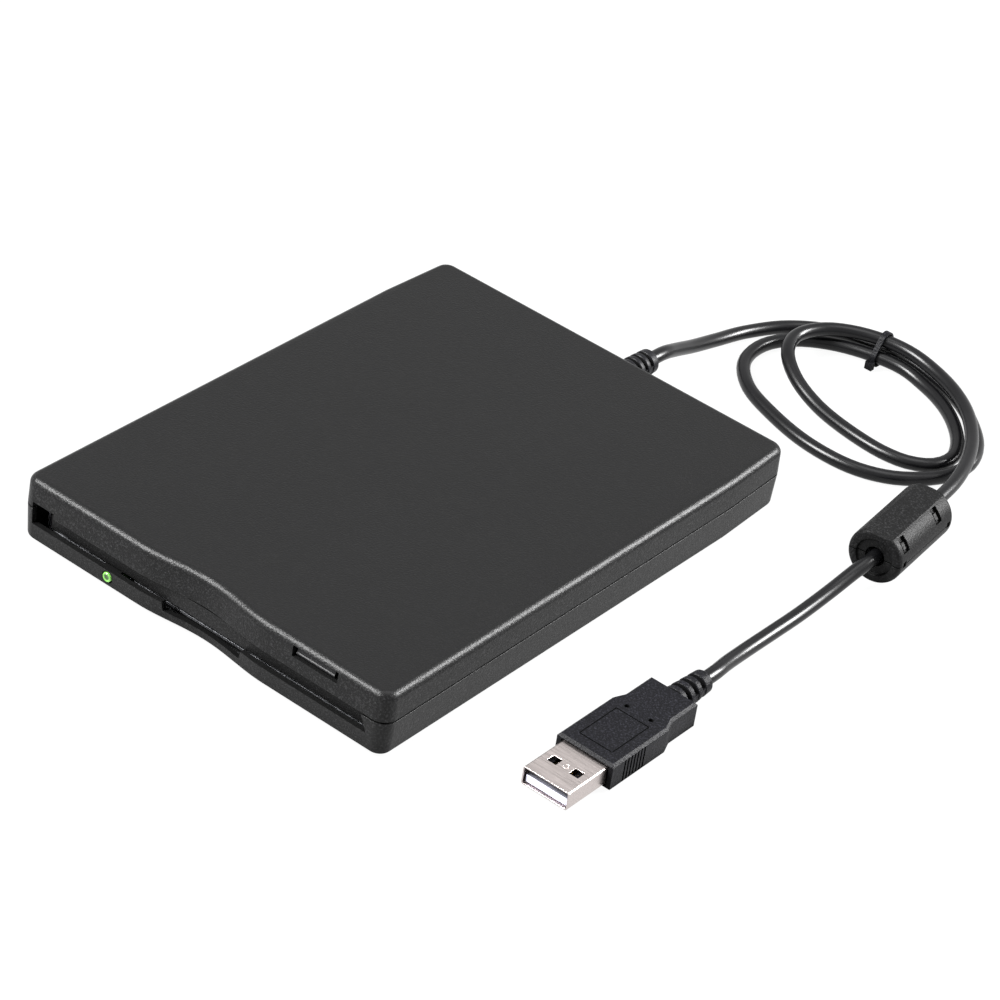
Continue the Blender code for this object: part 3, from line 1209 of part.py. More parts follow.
def make_head_carriage():
    body = block((CARRIAGE_LEFT, CARRIAGE_FRONT_Y, CARRIAGE_LOW_Z),
                 (CARRIAGE_RIGHT, CARRIAGE_REAR_Y, CARRIAGE_TOP_Z))
    nose = block((-NOSE_HALF, NOSE_FRONT_Y, CARRIAGE_LOW_Z), (NOSE_HALF, CARRIAGE_FRONT_Y + SINK, NOSE_TOP_Z))
    nut_reach = SCREW_RADIUS + GAP + NUT_MARGIN
    nut = block((SCREW_X - nut_reach, CARRIAGE_FRONT_Y, SCREW_Z - nut_reach),
                (CARRIAGE_LEFT + SINK, CARRIAGE_FRONT_Y + NUT_LENGTH, SCREW_Z + nut_reach))
    adds = [body, nose, nut]
    lug_top = ARM_Z + ARM_PIN_RADIUS + LUG_MARGIN
    for side in (-1, 1):
        left, right = sorted((side * ARM_LUG_INNER, side * (ARM_LUG_INNER + ARM_LUG_SHEET)))
        adds.append(block((left, ARM_Y - ARM_LUG_HALF, CARRIAGE_TOP_Z - SINK),
                          (right, ARM_Y + ARM_LUG_HALF, lug_top)))
    lug_outer = ARM_LUG_INNER + ARM_LUG_SHEET + OVERRUN
    cuts = [
        bar((ROD_X, CARRIAGE_FRONT_Y - OVERRUN, ROD_Z), (ROD_X, CARRIAGE_REAR_Y + OVERRUN, ROD_Z),
            ROD_RADIUS + GAP),
        bar((SCREW_X, CARRIAGE_FRONT_Y - OVERRUN, SCREW_Z), (SCREW_X, CARRIAGE_REAR_Y + OVERRUN, SCREW_Z),
            SCREW_RADIUS + GAP),
        bar((-lug_outer, ARM_Y, ARM_Z), (lug_outer, ARM_Y, ARM_Z), ARM_PIN_RADIUS + GAP, sides=12),
    ]
    return part("head_carriage", "moulded_grey", adds, cuts, origin=(0, CARRIAGE_FRONT_Y, CARRIAGE_LOW_Z))


def make_heads(carriage):
    low = NOSE_TOP_Z + GAP
    lower = bar((0, HEAD_Y, low), (0, HEAD_Y, low + LOWER_HEAD_TALL), HEAD_RADIUS)
    part("lower_head", "head_ceramic", [lower], origin=(0, HEAD_Y, low), parent=carriage)
    arm_front = NOSE_FRONT_Y + LOOSE_GAP
    plate = block((-ARM_HALF, arm_front, ARM_LOW_Z), (ARM_HALF, ARM_Y + ARM_TAIL, ARM_LOW_Z + ARM_SHEET))
    pin_end = ARM_LUG_INNER + ARM_LUG_SHEET - GAP
    pin = bar((-pin_end, ARM_Y, ARM_Z), (pin_end, ARM_Y, ARM_Z), ARM_PIN_RADIUS, sides=12)
    arm = part("head_arm", "bright_sheet", [plate, pin], origin=(0, ARM_Y, ARM_Z), parent=carriage)
    high = ARM_LOW_Z - GAP
    upper = bar((0, HEAD_Y, high - UPPER_HEAD_TALL), (0, HEAD_Y, high), HEAD_RADIUS)
    part("upper_head", "head_ceramic", [upper], origin=(0, HEAD_Y, high), parent=arm)


def make_guide_rod():
    rod = bar((ROD_X, LUG_FRONT_Y, ROD_Z), (ROD_X, FRAME_REAR_Y - GAP, ROD_Z), ROD_RADIUS)
    part("guide_rod", "screw_steel", [rod])


def make_screw_drive():
    motor_rear = FRAME_REAR_Y - LOOSE_GAP
    motor_front = motor_rear - STEPPER_LENGTH
    part("stepper_motor", "bright_sheet",
         [bar((SCREW_X, motor_front, SCREW_Z), (SCREW_X, motor_rear, SCREW_Z), STEPPER_RADIUS)])
    part("lead_screw", "screw_steel",
         [bar((SCREW_X, LUG_FRONT_Y, SCREW_Z), (SCREW_X, motor_front - GAP, SCREW_Z), SCREW_RADIUS)],
         origin=(SCREW_X, LUG_FRONT_Y, SCREW_Z))
    bore = SCREW_RADIUS + GAP
    centre = (SCREW_X, SCREW_Z)
    ring = extruded("Y", LUG_FRONT_Y, LUG_REAR_Y, circle(centre, bore + BEARING_WALL), [circle(centre, bore)])
    part("screw_bearing", "brass", [ring])


# Disk sensing switches


def make_switches():
    low = DECK_Z + GAP
    high = low + SWITCH_TALL
    front = FRAME_FRONT_Y + SWITCH_FRONT_STEP
    middle = front + SWITCH_LENGTH / 2
    for name, side in (("write_protect", -1), ("density", 1)):
        across = side * (FRAME_HALF - SWITCH_SIDE_INSET)
        outline = rectangle(across - SWITCH_HALF, front, across + SWITCH_HALF, front + SWITCH_LENGTH)
        hole = circle((across, middle), PLUNGER_RADIUS + GAP, sides=12)
        part(name + "_switch", "chip_black", [extruded("Z", low, high, outline, [hole])])
        plunger = bar((across, middle, DECK_Z + GAP + PLUNGER_TRAVEL), (across, middle, high + PLUNGER_PROUD),
                      PLUNGER_RADIUS, sides=12)
        part(name + "_plunger", "connector_white", [plunger], origin=(across, middle, high))


# Boards


def make_boards():
    right = FRAME_INNER - LOOSE_GAP
    front = FRAME_REAR_Y - MAIN_BOARD_FRONT_STEP
    board = block((MAIN_BOARD_LEFT, front, MAIN_BOARD_Z), (right, FRAME_REAR_Y - LOOSE_GAP, MAIN_BOARD_TOP_Z))
    part("main_board", "board_green", [board])
    chip_x = (MAIN_BOARD_LEFT + right) / 2
    chip_y = front + MAIN_CHIP_STEP
    low = MAIN_BOARD_TOP_Z + GAP
    part("main_chip", "chip_black",
         [block((chip_x - MAIN_CHIP_HALF, chip_y - MAIN_CHIP_HALF, low),
                (chip_x + MAIN_CHIP_HALF, chip_y + MAIN_CHIP_HALF, low + CHIP_TALL))])
    part("usb_board", "board_green",
         [block((-USB_BOARD_HALF, USB_BOARD_FRONT_Y, USB_BOARD_Z),
                (USB_BOARD_HALF, USB_BOARD_REAR_Y, USB_BOARD_TOP_Z))])
    low = USB_BOARD_TOP_Z + GAP
    part("interface_chip", "chip_black",
         [block((INTERFACE_CHIP_X - INTERFACE_CHIP_HALF, USB_BOARD_FRONT_Y + LOOSE_GAP, low),
                (INTERFACE_CHIP_X + INTERFACE_CHIP_HALF,
                 USB_BOARD_FRONT_Y + LOOSE_GAP + INTERFACE_CHIP_LENGTH, low + CHIP_TALL))])
    part("lead_connector", "connector_white",
         [block((LEAD_X - CONNECTOR_HALF, USB_BOARD_FRONT_Y + GAP, low),
                (LEAD_X + CONNECTOR_HALF, USB_BOARD_FRONT_Y + GAP + CONNECTOR_LENGTH, low + CONNECTOR_TALL))])


def make_flex_cable():
    """A bent ribbon from the drive's board up to the interface board."""
    low = MAIN_BOARD_TOP_Z + GAP
    rise_y = USB_BOARD_FRONT_Y - FLEX_STANDOFF
    high = USB_BOARD_TOP_Z + GAP
    bend = FLEX_TURN_RADIUS
    lower_turn = arc((rise_y - bend, low + bend), bend, -90, 0, 3)
    upper_turn = arc((rise_y + bend, high - bend + FLEX_SHEET), bend, 180, 90, 3)
    middle = [(rise_y - FLEX_FRONT_RUN, low), *lower_turn, *upper_turn,
              (rise_y + FLEX_REAR_RUN, high + FLEX_SHEET)]
    outline = middle + thickened(middle, FLEX_SHEET)
    part("flex_cable", "flex_amber", [extruded("X", FLEX_LEFT, FLEX_RIGHT, outline)])


def thickened(points, sheet):
    """The same line moved to its left by the sheet's thickness, back to front."""
    moved = []
    for i, point in enumerate(points):
        before = Vector(points[max(i - 1, 0)])
        after = Vector(points[min(i + 1, len(points) - 1)])
        run = (after - before).normalized()
        moved.append((point[0] - run.y * sheet, point[1] + run.x * sheet))
    return list(reversed(moved))


# Lead, from the strain relief to the plug


def ribbed_profile(length, start_radius, end_radius, groove_radius, ribs, groove_share):
    """The outer side of a ribbed sleeve, as (radius, distance from its start)."""
    pitch = length / (ribs + 1)
    points = [(start_radius, 0)]
    for rib in range(ribs):
        start = pitch * (rib + 1 - groove_share)
        end = pitch * (rib + 1)
        start_r = start_radius + (end_radius - start_radius) * start / length
        end_r = start_radius + (end_radius - start_radius) * end / length
        points += [(start_r, start), (groove_radius, start), (groove_radius, end), (end_r, end)]
    points.append((end_radius, length))
    return points


def along_y(across, start_y, height):
    """Turns a profile's height into distance along +Y from start_y."""
    return Matrix.Translation((across, start_y, height)) @ Matrix.Rotation(math.radians(-90), 4, "X")


def make_strain_relief():
    start = REAR_Y + GAP
    flange_out = INNER_REAR_Y - UPPER_DRAW_IN - GAP - start
    flange_in = flange_out - RELIEF_FLANGE
    outside = ribbed_profile(RELIEF_LENGTH, RELIEF_RADIUS, RELIEF_END_RADIUS, RELIEF_GROOVE_RADIUS,
                             RELIEF_RIBS, RELIEF_GROOVE_SHARE)
    profile = [(0, flange_in), (RELIEF_FLANGE_RADIUS, flange_in), (RELIEF_FLANGE_RADIUS, flange_out),
               (RELIEF_NECK_RADIUS, flange_out), (RELIEF_NECK_RADIUS, 0), *outside, (0, RELIEF_LENGTH)]
    shape = turned(list(reversed(profile)), along_y(LEAD_X, start, LEAD_Z))
    part("cable_strain_relief", "cable_black", [shape], origin=(LEAD_X, start, LEAD_Z))
    make_core_lead(start + flange_in - GAP)


def make_core_lead(start_y):
    """The bare inner lead from the strain relief down to its connector."""
    end_z = USB_BOARD_TOP_Z + GAP + CONNECTOR_TALL + GAP
    end_y = USB_BOARD_FRONT_Y + GAP + CONNECTOR_LENGTH / 2
    turn = arc((end_y + CORE_LEAD_BEND, LEAD_Z - CORE_LEAD_BEND), CORE_LEAD_BEND, 90, 180, 4)
    points = [(LEAD_X, start_y, LEAD_Z)]
    points += [(LEAD_X, along, height) for along, height in turn]
    points.append((LEAD_X, end_y, end_z))
    tube("inner_lead", "cable_black", points, CORE_LEAD_RADIUS, CABLE_BEVEL_STEPS)


def smooth_route():
    """Points at even steps on a smooth curve through the cable's route."""
    route = [Vector(point) for point in CABLE_ROUTE]
    steps = [math.sqrt((after - before).length) for before, after in zip(route, route[1:])]
    slopes = [(after - before) / step for before, after, step in zip(route, route[1:], steps)]
    tangents = [slopes[0]]
    for before, after, step_in, step_out in zip(slopes, slopes[1:], steps, steps[1:]):
        tangents.append((before * step_out + after * step_in) / (step_in + step_out))
    tangents.append(slopes[-1])
    fine = []
    for i, step in enumerate(steps):
        for part_step in range(ROUTE_FINE_STEPS):
            t = part_step / ROUTE_FINE_STEPS
            point = route[i] * (2 * t**3 - 3 * t**2 + 1) + tangents[i] * step * (t**3 - 2 * t**2 + t)
            point += route[i + 1] * (3 * t**2 - 2 * t**3) + tangents[i + 1] * step * (t**3 - t**2)
            fine.append(point)
    fine.append(route[-1])
    return even_points(fine)


def even_points(fine):
    lengths = [0]
    for before, after in zip(fine, fine[1:]):
        lengths.append(lengths[-1] + (after - before).length)
    points = []
    index = 0
    for sample in range(CABLE_SAMPLES):
        wanted = lengths[-1] * sample / (CABLE_SAMPLES - 1)
        while index < len(fine) - 2 and lengths[index + 1] < wanted:
            index += 1
        share = (wanted - lengths[index]) / (lengths[index + 1] - lengths[index])
        point = fine[index].lerp(fine[index + 1], min(max(share, 0), 1))
        point.z = max(point.z, CABLE_RADIUS)
        points.append(point)
    points[1].x = points[0].x
    points[1].z = points[0].z
    points[-2].x = points[-1].x
    points[-2].z = points[-1].z
    return points


def least_self_gap(points, radius):
    """The least clear distance between stretches of the cable that aren't neighbours."""
    spacing = (points[1] - points[0]).length
    skip = math.ceil(math.pi * 2 * radius / spacing) + 1
    least = math.inf
    for i, (a, b) in enumerate(zip(points, points[1:])):
        for c, d in zip(points[i + skip:], points[i + skip + 1:]):
            least = min(least, stretch_distance(a, b, c, d))
    return least - 2 * radius


def stretch_distance(a, b, c, d):
    """Distance between two straight stretches, by walking to the nearest pair of points."""
    first, second, between = b - a, d - c, a - c
    aa, bb, ab = first.dot(first), second.dot(second), first.dot(second)
    af, bf = first.dot(between), second.dot(between)
    denominator = aa * bb - ab * ab
    s = min(max((ab * bf - af * bb) / denominator, 0), 1) if denominator > 0 else 0
    t = min(max((ab * s + bf) / bb, 0), 1)
    s = min(max((ab * t - af) / aa, 0), 1)
    return (a + first * s - c - second * t).length


def make_usb_cable():
    points = smooth_route()
    tube("usb_cable", "cable_black", points, CABLE_RADIUS, CABLE_BEVEL_STEPS)
    print("usb_cable least gap to itself, mm:", round(least_self_gap(points, CABLE_RADIUS) * 1000, 3))


def belt_outline(centres, radius, steps):
    """The outline of a belt pulled round equal circles, counter-clockwise."""
    middle = sum((Vector(centre) for centre in centres), Vector((0, 0))) / len(centres)
    ordered = sorted(centres, key=lambda point: math.atan2(point[1] - middle.y, point[0] - middle.x))
    points = []
    for i, centre in enumerate(ordered):
        before = Vector(centre) - Vector(ordered[i - 1])
        after = Vector(ordered[(i + 1) % len(ordered)]) - Vector(centre)
        start = math.degrees(math.atan2(before.y, before.x)) - 90
        end = math.degrees(math.atan2(after.y, after.x)) - 90
        while end < start:
            end += 360
        points += arc(centre, radius, start, end, steps)
    return points


def make_cable_tie():
    inner_radius = CABLE_RADIUS + GAP
    outer_radius = inner_radius + TIE_BAND
    left = TIE_X - TIE_WIDE / 2
    right = TIE_X + TIE_WIDE / 2
    band = extruded("X", left, right, belt_outline(TIED_STRANDS, outer_radius, 5),
                    [belt_outline(TIED_STRANDS, inner_radius, 5)])
    front = min(along for along, _ in TIED_STRANDS) - outer_radius
    head = block((left - GAP, front - TIE_HEAD_LENGTH, GAP),
                 (right + GAP, front + TIE_BAND / 2, TIE_HEAD_TALL))
    rear = max(along for along, _ in TIED_STRANDS) + outer_radius
    tail = block((left + SINK, rear - TIE_BAND / 2, TIE_TAIL_RISE),
                 (right - SINK, rear + TIE_TAIL_LENGTH, TIE_TAIL_RISE + TIE_BAND))
    part("cable_tie", "plug_black", [band, head, tail], origin=(TIE_X, front, 0))


# Ferrite bead


def bead_place():
    along = BEAD_REAR - BEAD_FRONT
    angle = math.atan2(-along.x, along.y)
    return Matrix.Translation((BEAD_FRONT + BEAD_REAR) / 2) @ Matrix.Rotation(angle, 4, "Z")


def bead_body(half_length):
    """The full round of the bead with softened ends, each dished round the cable's hole."""
    dish = BEAD_RADIUS - BEAD_END_FILLET - BEAD_END_RIM
    end = half_length - BEAD_END_DISH
    profile = [(0, end), (dish, end), (dish + BEAD_END_DISH, half_length)]
    profile += [(BEAD_RADIUS - BEAD_END_FILLET + BEAD_END_FILLET * math.sin(a),
                 half_length - BEAD_END_FILLET + BEAD_END_FILLET * math.cos(a))
                for a in (math.radians(90 * step / FILLET_STEPS) for step in range(FILLET_STEPS + 1))]
    mirrored = [(radius, -height) for radius, height in reversed(profile)]
    turn = Matrix.Rotation(math.radians(-90), 4, "X")
    return turned(profile + mirrored, turn, sides=WIDE_SIDES - 12)


def make_bead_half(name, side, hinge):
    """One half of the bead's shell: side is -1 below the cable and 1 above it."""
    half_length = (BEAD_REAR - BEAD_FRONT).length / 2
    cavity = BEAD_RADIUS - BEAD_WALL
    cavity_end = half_length - BEAD_END_WALL
    far = BEAD_RADIUS + OVERRUN
    long = half_length + OVERRUN
    keep_edge = side * GAP / 2
    other_low, other_high = sorted((keep_edge, -side * far))
    floor_drop = BEAD_FRONT.z
    top_flat = BEAD_FRONT.z - BEAD_TOP_FLAT_DROP
    flat_low, flat_high = ((-far, -floor_drop), (top_flat, far))[side > 0]
    cuts = [
        bar((0, -cavity_end, 0), (0, cavity_end, 0), cavity, WIDE_SIDES - 12),
        bar((0, -long, 0), (0, long, 0), BEAD_HOLE_RADIUS),
        block((-far, -long, other_low), (far, long, other_high)),
        block((-far, -long, flat_low), (far, long, flat_high)),
    ]
    if side > 0:
        cuts += bead_windows()
    adds = [bead_body(half_length)]
    part(name, "plug_black", adds, cuts, origin=hinge, place=bead_place())


def bead_windows():
    """Two latch windows through the outer face of the lid."""
    shapes = []
    lean = math.radians(BEAD_WINDOW_DEGREES)
    for along in BEAD_WINDOW_PLACES:
        half_long = BEAD_WINDOW_LONG / 2
        half_high = BEAD_WINDOW_HIGH / 2
        start = BEAD_RADIUS - BEAD_WINDOW_DEEP
        shape = block((start, along - half_long, -half_high),
                      (BEAD_RADIUS + OVERRUN, along + half_long, half_high))
        shape.transform(Matrix.Rotation(-lean, 4, "Y"))
        shapes.append(shape)
    return shapes


def make_bead_core(name, side, hinge):
    half_length = (BEAD_REAR - BEAD_FRONT).length / 2 - BEAD_END_WALL - GAP
    radius = BEAD_RADIUS - BEAD_WALL - GAP
    keep_edge = GAP / 2
    outer = arc((0, 0), radius, 0, 180, ROUND_SIDES // 2)
    inner = arc((0, 0), CORE_BORE_RADIUS, 180, 0, ROUND_SIDES // 2)
    outline = [(across, side * (max(up, 0) + keep_edge)) for across, up in outer + inner]
    shape = extruded("Y", -half_length, half_length, outline)
    part(name, "ferrite_grey", [shape], origin=hinge, place=bead_place())


def make_ferrite_bead():
    hinge = (-BEAD_RADIUS, 0, 0)
    make_bead_half("ferrite_shell_lower", -1, (0, 0, 0))
    make_bead_half("ferrite_shell_upper", 1, hinge)
    make_bead_core("ferrite_core_lower", -1, (0, 0, 0))
    make_bead_core("ferrite_core_upper", 1, hinge)


# Plug


def grip_ring(height, inset):
    """Plan outline of the grip at one height, wide in front and narrower behind its waist."""
    front = PLUG_TIP_Y + PLUG_SHELL_OUT
    half = GRIP_WIDE / 2 - inset
    waist = GRIP_WAIST_WIDE / 2 - inset
    right_side = [(half, front + inset), (half, front + GRIP_WAIST_START), (waist, front + GRIP_WAIST_END),
                  (waist, front + GRIP_LENGTH - inset)]
    left_side = [(-across, along) for across, along in reversed(right_side)]
    return [(PLUG_X + across, along, height) for across, along in right_side + left_side]


def make_plug():
    grip_front = PLUG_TIP_Y + PLUG_SHELL_OUT
    grip_rear = grip_front + GRIP_LENGTH
    half = GRIP_WIDE / 2
    low = PLUG_Z - GRIP_TALL / 2
    high = PLUG_Z + GRIP_TALL / 2
    grip = loft([grip_ring(low, GRIP_BEVEL), grip_ring(low + GRIP_BEVEL, 0),
                 grip_ring(high - GRIP_BEVEL, 0), grip_ring(high, GRIP_BEVEL)])
    tail_profile = ribbed_profile(TAIL_LENGTH, TAIL_RADIUS, TAIL_END_RADIUS, TAIL_GROOVE_RADIUS,
                                  TAIL_RIBS, TAIL_GROOVE_SHARE)
    root = GRIP_BEVEL + OVERRUN
    tail_radius = TAIL_RADIUS - GRIP_BEVEL
    profile = [(0, -root), (tail_radius, -root), (tail_radius, 0), *tail_profile, (0, TAIL_LENGTH)]
    tail = turned(list(reversed(profile)), along_y(PLUG_X, grip_rear, PLUG_Z))
    socket_half = PLUG_SHELL_WIDE / 2 + GAP
    socket_tall = PLUG_SHELL_TALL / 2 + GAP
    cuts = [block((PLUG_X - socket_half, grip_front - OVERRUN, PLUG_Z - socket_tall),
                  (PLUG_X + socket_half, grip_front + PLUG_SHELL_SET + GAP, PLUG_Z + socket_tall))]
    for rib in range(GRIP_RIBS):
        start = grip_front + GRIP_RIB_START + rib * GRIP_RIB_PITCH
        for side in (-1, 1):
            left, right = sorted((side * (half - GRIP_RIB_DEEP), side * (half + OVERRUN)))
            cuts.append(block((PLUG_X + left, start, low + GRIP_BEVEL),
                              (PLUG_X + right, start + GRIP_RIB_WIDE, high - GRIP_BEVEL)))
    part("plug_overmold", "plug_black", [grip, tail], cuts, origin=(PLUG_X, grip_rear, PLUG_Z))
    make_plug_shell(grip_front + PLUG_SHELL_SET)


def make_plug_shell(rear):
    half = PLUG_SHELL_WIDE / 2
    tall = PLUG_SHELL_TALL / 2
    inner_half = half - PLUG_SHELL_SHEET
    inner_tall = tall - PLUG_SHELL_SHEET
    outer = rectangle(PLUG_X - half, PLUG_Z - tall, PLUG_X + half, PLUG_Z + tall)
    inner = rectangle(PLUG_X - inner_half, PLUG_Z - inner_tall, PLUG_X + inner_half, PLUG_Z + inner_tall)
    holes = []
    hole_y = PLUG_TIP_Y + PLUG_HOLE_STEP
    for side in (-1, 1):
        across = PLUG_X + side * PLUG_HOLE_SIDE
        holes.append(block((across - PLUG_HOLE / 2, hole_y, PLUG_Z - tall - OVERRUN),
                           (across + PLUG_HOLE / 2, hole_y + PLUG_HOLE, PLUG_Z + tall + OVERRUN)))
    shell = extruded("Y", PLUG_TIP_Y, rear, outer, [inner])
    part("plug_shell", "nickel", [shell], holes, origin=(PLUG_X, PLUG_TIP_Y, PLUG_Z))
    low = PLUG_Z - inner_tall + GAP
    tongue = block((PLUG_X - inner_half + GAP, PLUG_TIP_Y + PLUG_TONGUE_STEP, low),
                   (PLUG_X + inner_half - GAP, rear, low + PLUG_TONGUE_TALL))
    part("plug_tongue", "tongue_lavender", [tongue], origin=(PLUG_X, PLUG_TIP_Y, PLUG_Z))


def make_case():
    make_top_cover()
    make_bottom_cover()
    make_feet()
    make_screws()
    make_led_lens()
    make_door_spring(make_dust_door())


def make_drive():
    make_drive_frame()
    make_drive_lid()
    make_shutter_lever(make_disk_cradle())
    slide = make_slide_plate()
    make_eject_button(slide)
    make_eject_springs()
    make_spindle()
    make_heads(make_head_carriage())
    make_guide_rod()
    make_screw_drive()
    make_switches()
    make_boards()
    make_flex_cable()


def make_lead():
    make_strain_relief()
    make_usb_cable()
    make_cable_tie()
    make_ferrite_bead()
    make_plug()


clear_scene()
PARTS = new_collection("external_floppy_disk_drive")
CUTTERS = new_collection("cutters", hidden=True)
make_case()
make_drive()
make_lead()
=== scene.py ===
"""Looks of an external floppy disk drive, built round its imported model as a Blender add-on.

X runs right along the front, -Y is the front with the slot, Z is up. All lengths are in metres.
"""

import json
import math

import bmesh
import bpy
from bpy.props import FloatProperty, FloatVectorProperty, IntProperty, PointerProperty
from mathutils import Matrix, Vector

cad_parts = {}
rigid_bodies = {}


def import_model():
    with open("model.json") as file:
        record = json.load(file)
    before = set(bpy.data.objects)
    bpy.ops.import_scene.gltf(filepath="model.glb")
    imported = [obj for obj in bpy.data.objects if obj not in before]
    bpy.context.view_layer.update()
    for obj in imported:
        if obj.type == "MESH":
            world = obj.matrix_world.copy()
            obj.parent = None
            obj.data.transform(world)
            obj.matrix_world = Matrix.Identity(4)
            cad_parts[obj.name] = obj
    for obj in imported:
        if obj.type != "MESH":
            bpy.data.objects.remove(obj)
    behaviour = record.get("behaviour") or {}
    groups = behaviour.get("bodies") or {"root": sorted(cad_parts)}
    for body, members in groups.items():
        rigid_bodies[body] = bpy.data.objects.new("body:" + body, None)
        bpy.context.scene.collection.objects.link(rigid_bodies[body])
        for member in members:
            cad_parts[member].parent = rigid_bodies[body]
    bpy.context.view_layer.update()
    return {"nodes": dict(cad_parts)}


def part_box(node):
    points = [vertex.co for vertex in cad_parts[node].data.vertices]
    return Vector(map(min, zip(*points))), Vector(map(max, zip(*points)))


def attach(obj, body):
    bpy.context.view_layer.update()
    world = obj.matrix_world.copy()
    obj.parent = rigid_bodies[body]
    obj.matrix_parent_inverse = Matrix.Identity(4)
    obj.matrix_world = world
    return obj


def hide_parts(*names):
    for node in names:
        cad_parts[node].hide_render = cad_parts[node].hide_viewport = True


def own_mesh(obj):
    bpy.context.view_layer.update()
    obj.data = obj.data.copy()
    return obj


bl_info = {
    "name": "Floppy drive looks",
    "version": (1, 0, 0),
    "blender": (4, 5, 0),
    "location": "View3D > Sidebar > Floppy drive",
    "description": "Builds the shells, the lead and the finishes of an external floppy disk drive",
    "category": "Object",
}

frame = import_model()

# Case, as in the CAD
HALF_WIDTH = 0.052
HALF_LENGTH = 0.070
BASE_Z = 0.001
TOP_Z = 0.017
CASE_HEIGHT = TOP_Z - BASE_Z
WALL = 0.0015
CEILING_Z = 0.0158
FLOOR_Z = 0.0022
LOWER_RIM_Z = 0.00965
UPPER_RIM_Z = 0.00995
TONGUE_Z = 0.0106
SKIN = 0.0006
GAP = 0.0003
TONGUE_INSET = SKIN + GAP
PLAN_RADIUS = 0.0035
LEAST_RADIUS = 0.0006
TOP_FILLET = 0.002
BASE_FILLET = 0.0015
UPPER_DRAW_IN = 0.00017
BASE_DRAW_IN = 0.00035
REAR_TAPER = 0.00092
REAR_TAPER_LENGTH = 0.0215
FINGER_CENTRE = 0.0006
FINGER_HALF = 0.0185
FINGER_DEEP_TOP = 0.002
FINGER_DEEP_BASE = 0.00165
OVERRUN = 0.001
SINK = 0.0002

# Openings of the case
SLOT_LOW_Z = 0.0057
SLOT_LEFT_X = -0.0486
SLOT_RIGHT_LOW_X = 0.0472
SLOT_RIGHT_HIGH_X = 0.0454
NOTCH_LEFT_X = -0.0103
NOTCH_RIGHT_X = 0.0115
NOTCH_LOW_Z = 0.0036
NOTCH_FLARE = 0.0006
POCKET_RIGHT_X = -0.0423
POCKET_TOP_Z = 0.0114
BUTTON_HOLE_LEFT_X = 0.0260
BUTTON_HOLE_RIGHT_X = 0.0384
BUTTON_HOLE_LOW_Z = 0.0132
LED_X = -0.026
LED_Z = 0.0039
LED_HOLE_RADIUS = 0.0015
LEAD_X = 0.0045
LEAD_Z = 0.0122
RELIEF_NECK_RADIUS = 0.0019
LED_HOLDER_HALF = 0.0024
LED_HOLDER_DEEP = 0.0026
PILLAR_X = 0.033
PILLAR_RADIUS = 0.0016
PILLAR_Y = 0.06515
PILLAR_TOP_Z = 0.0057
FOOT_SET = 0.0005
FOOT_RADIUS = 0.0045
SCREW_HEAD_RADIUS = 0.0018
SCREW_SHANK_RADIUS = 0.0009
SCREW_HEAD_SINK = 0.0001
CASE_SCREW_HEAD = 0.0009
DRIVE_SCREW_HEAD = 0.00035
CASE_BOSS_RISE = 0.001
CASE_BOSS_RADIUS = 0.0031
POST_RADIUS = 0.0025
POST_BORE = 0.0012
POST_LOW_Z = 0.0035
POST_BORE_TOP_Z = 0.0095
BRACKET_X = (0.0425, 0.0455)
BRACKET_Y = (-0.0686, -0.0660)
BRACKET_NOSE = 0.0012
DOOR_PIN_Y = -0.0672
DOOR_PIN_Z = 0.0110
DOOR_PIN_HOLE = 0.0008
FINE_BEVEL = 0.0001
BEHIND_FINGER_Y = -HALF_LENGTH + FINGER_DEEP_TOP + WALL + GAP

# Heads, each drawn in a little so that they clear one another with the slide forward
HEAD_ROOM = 0.00005

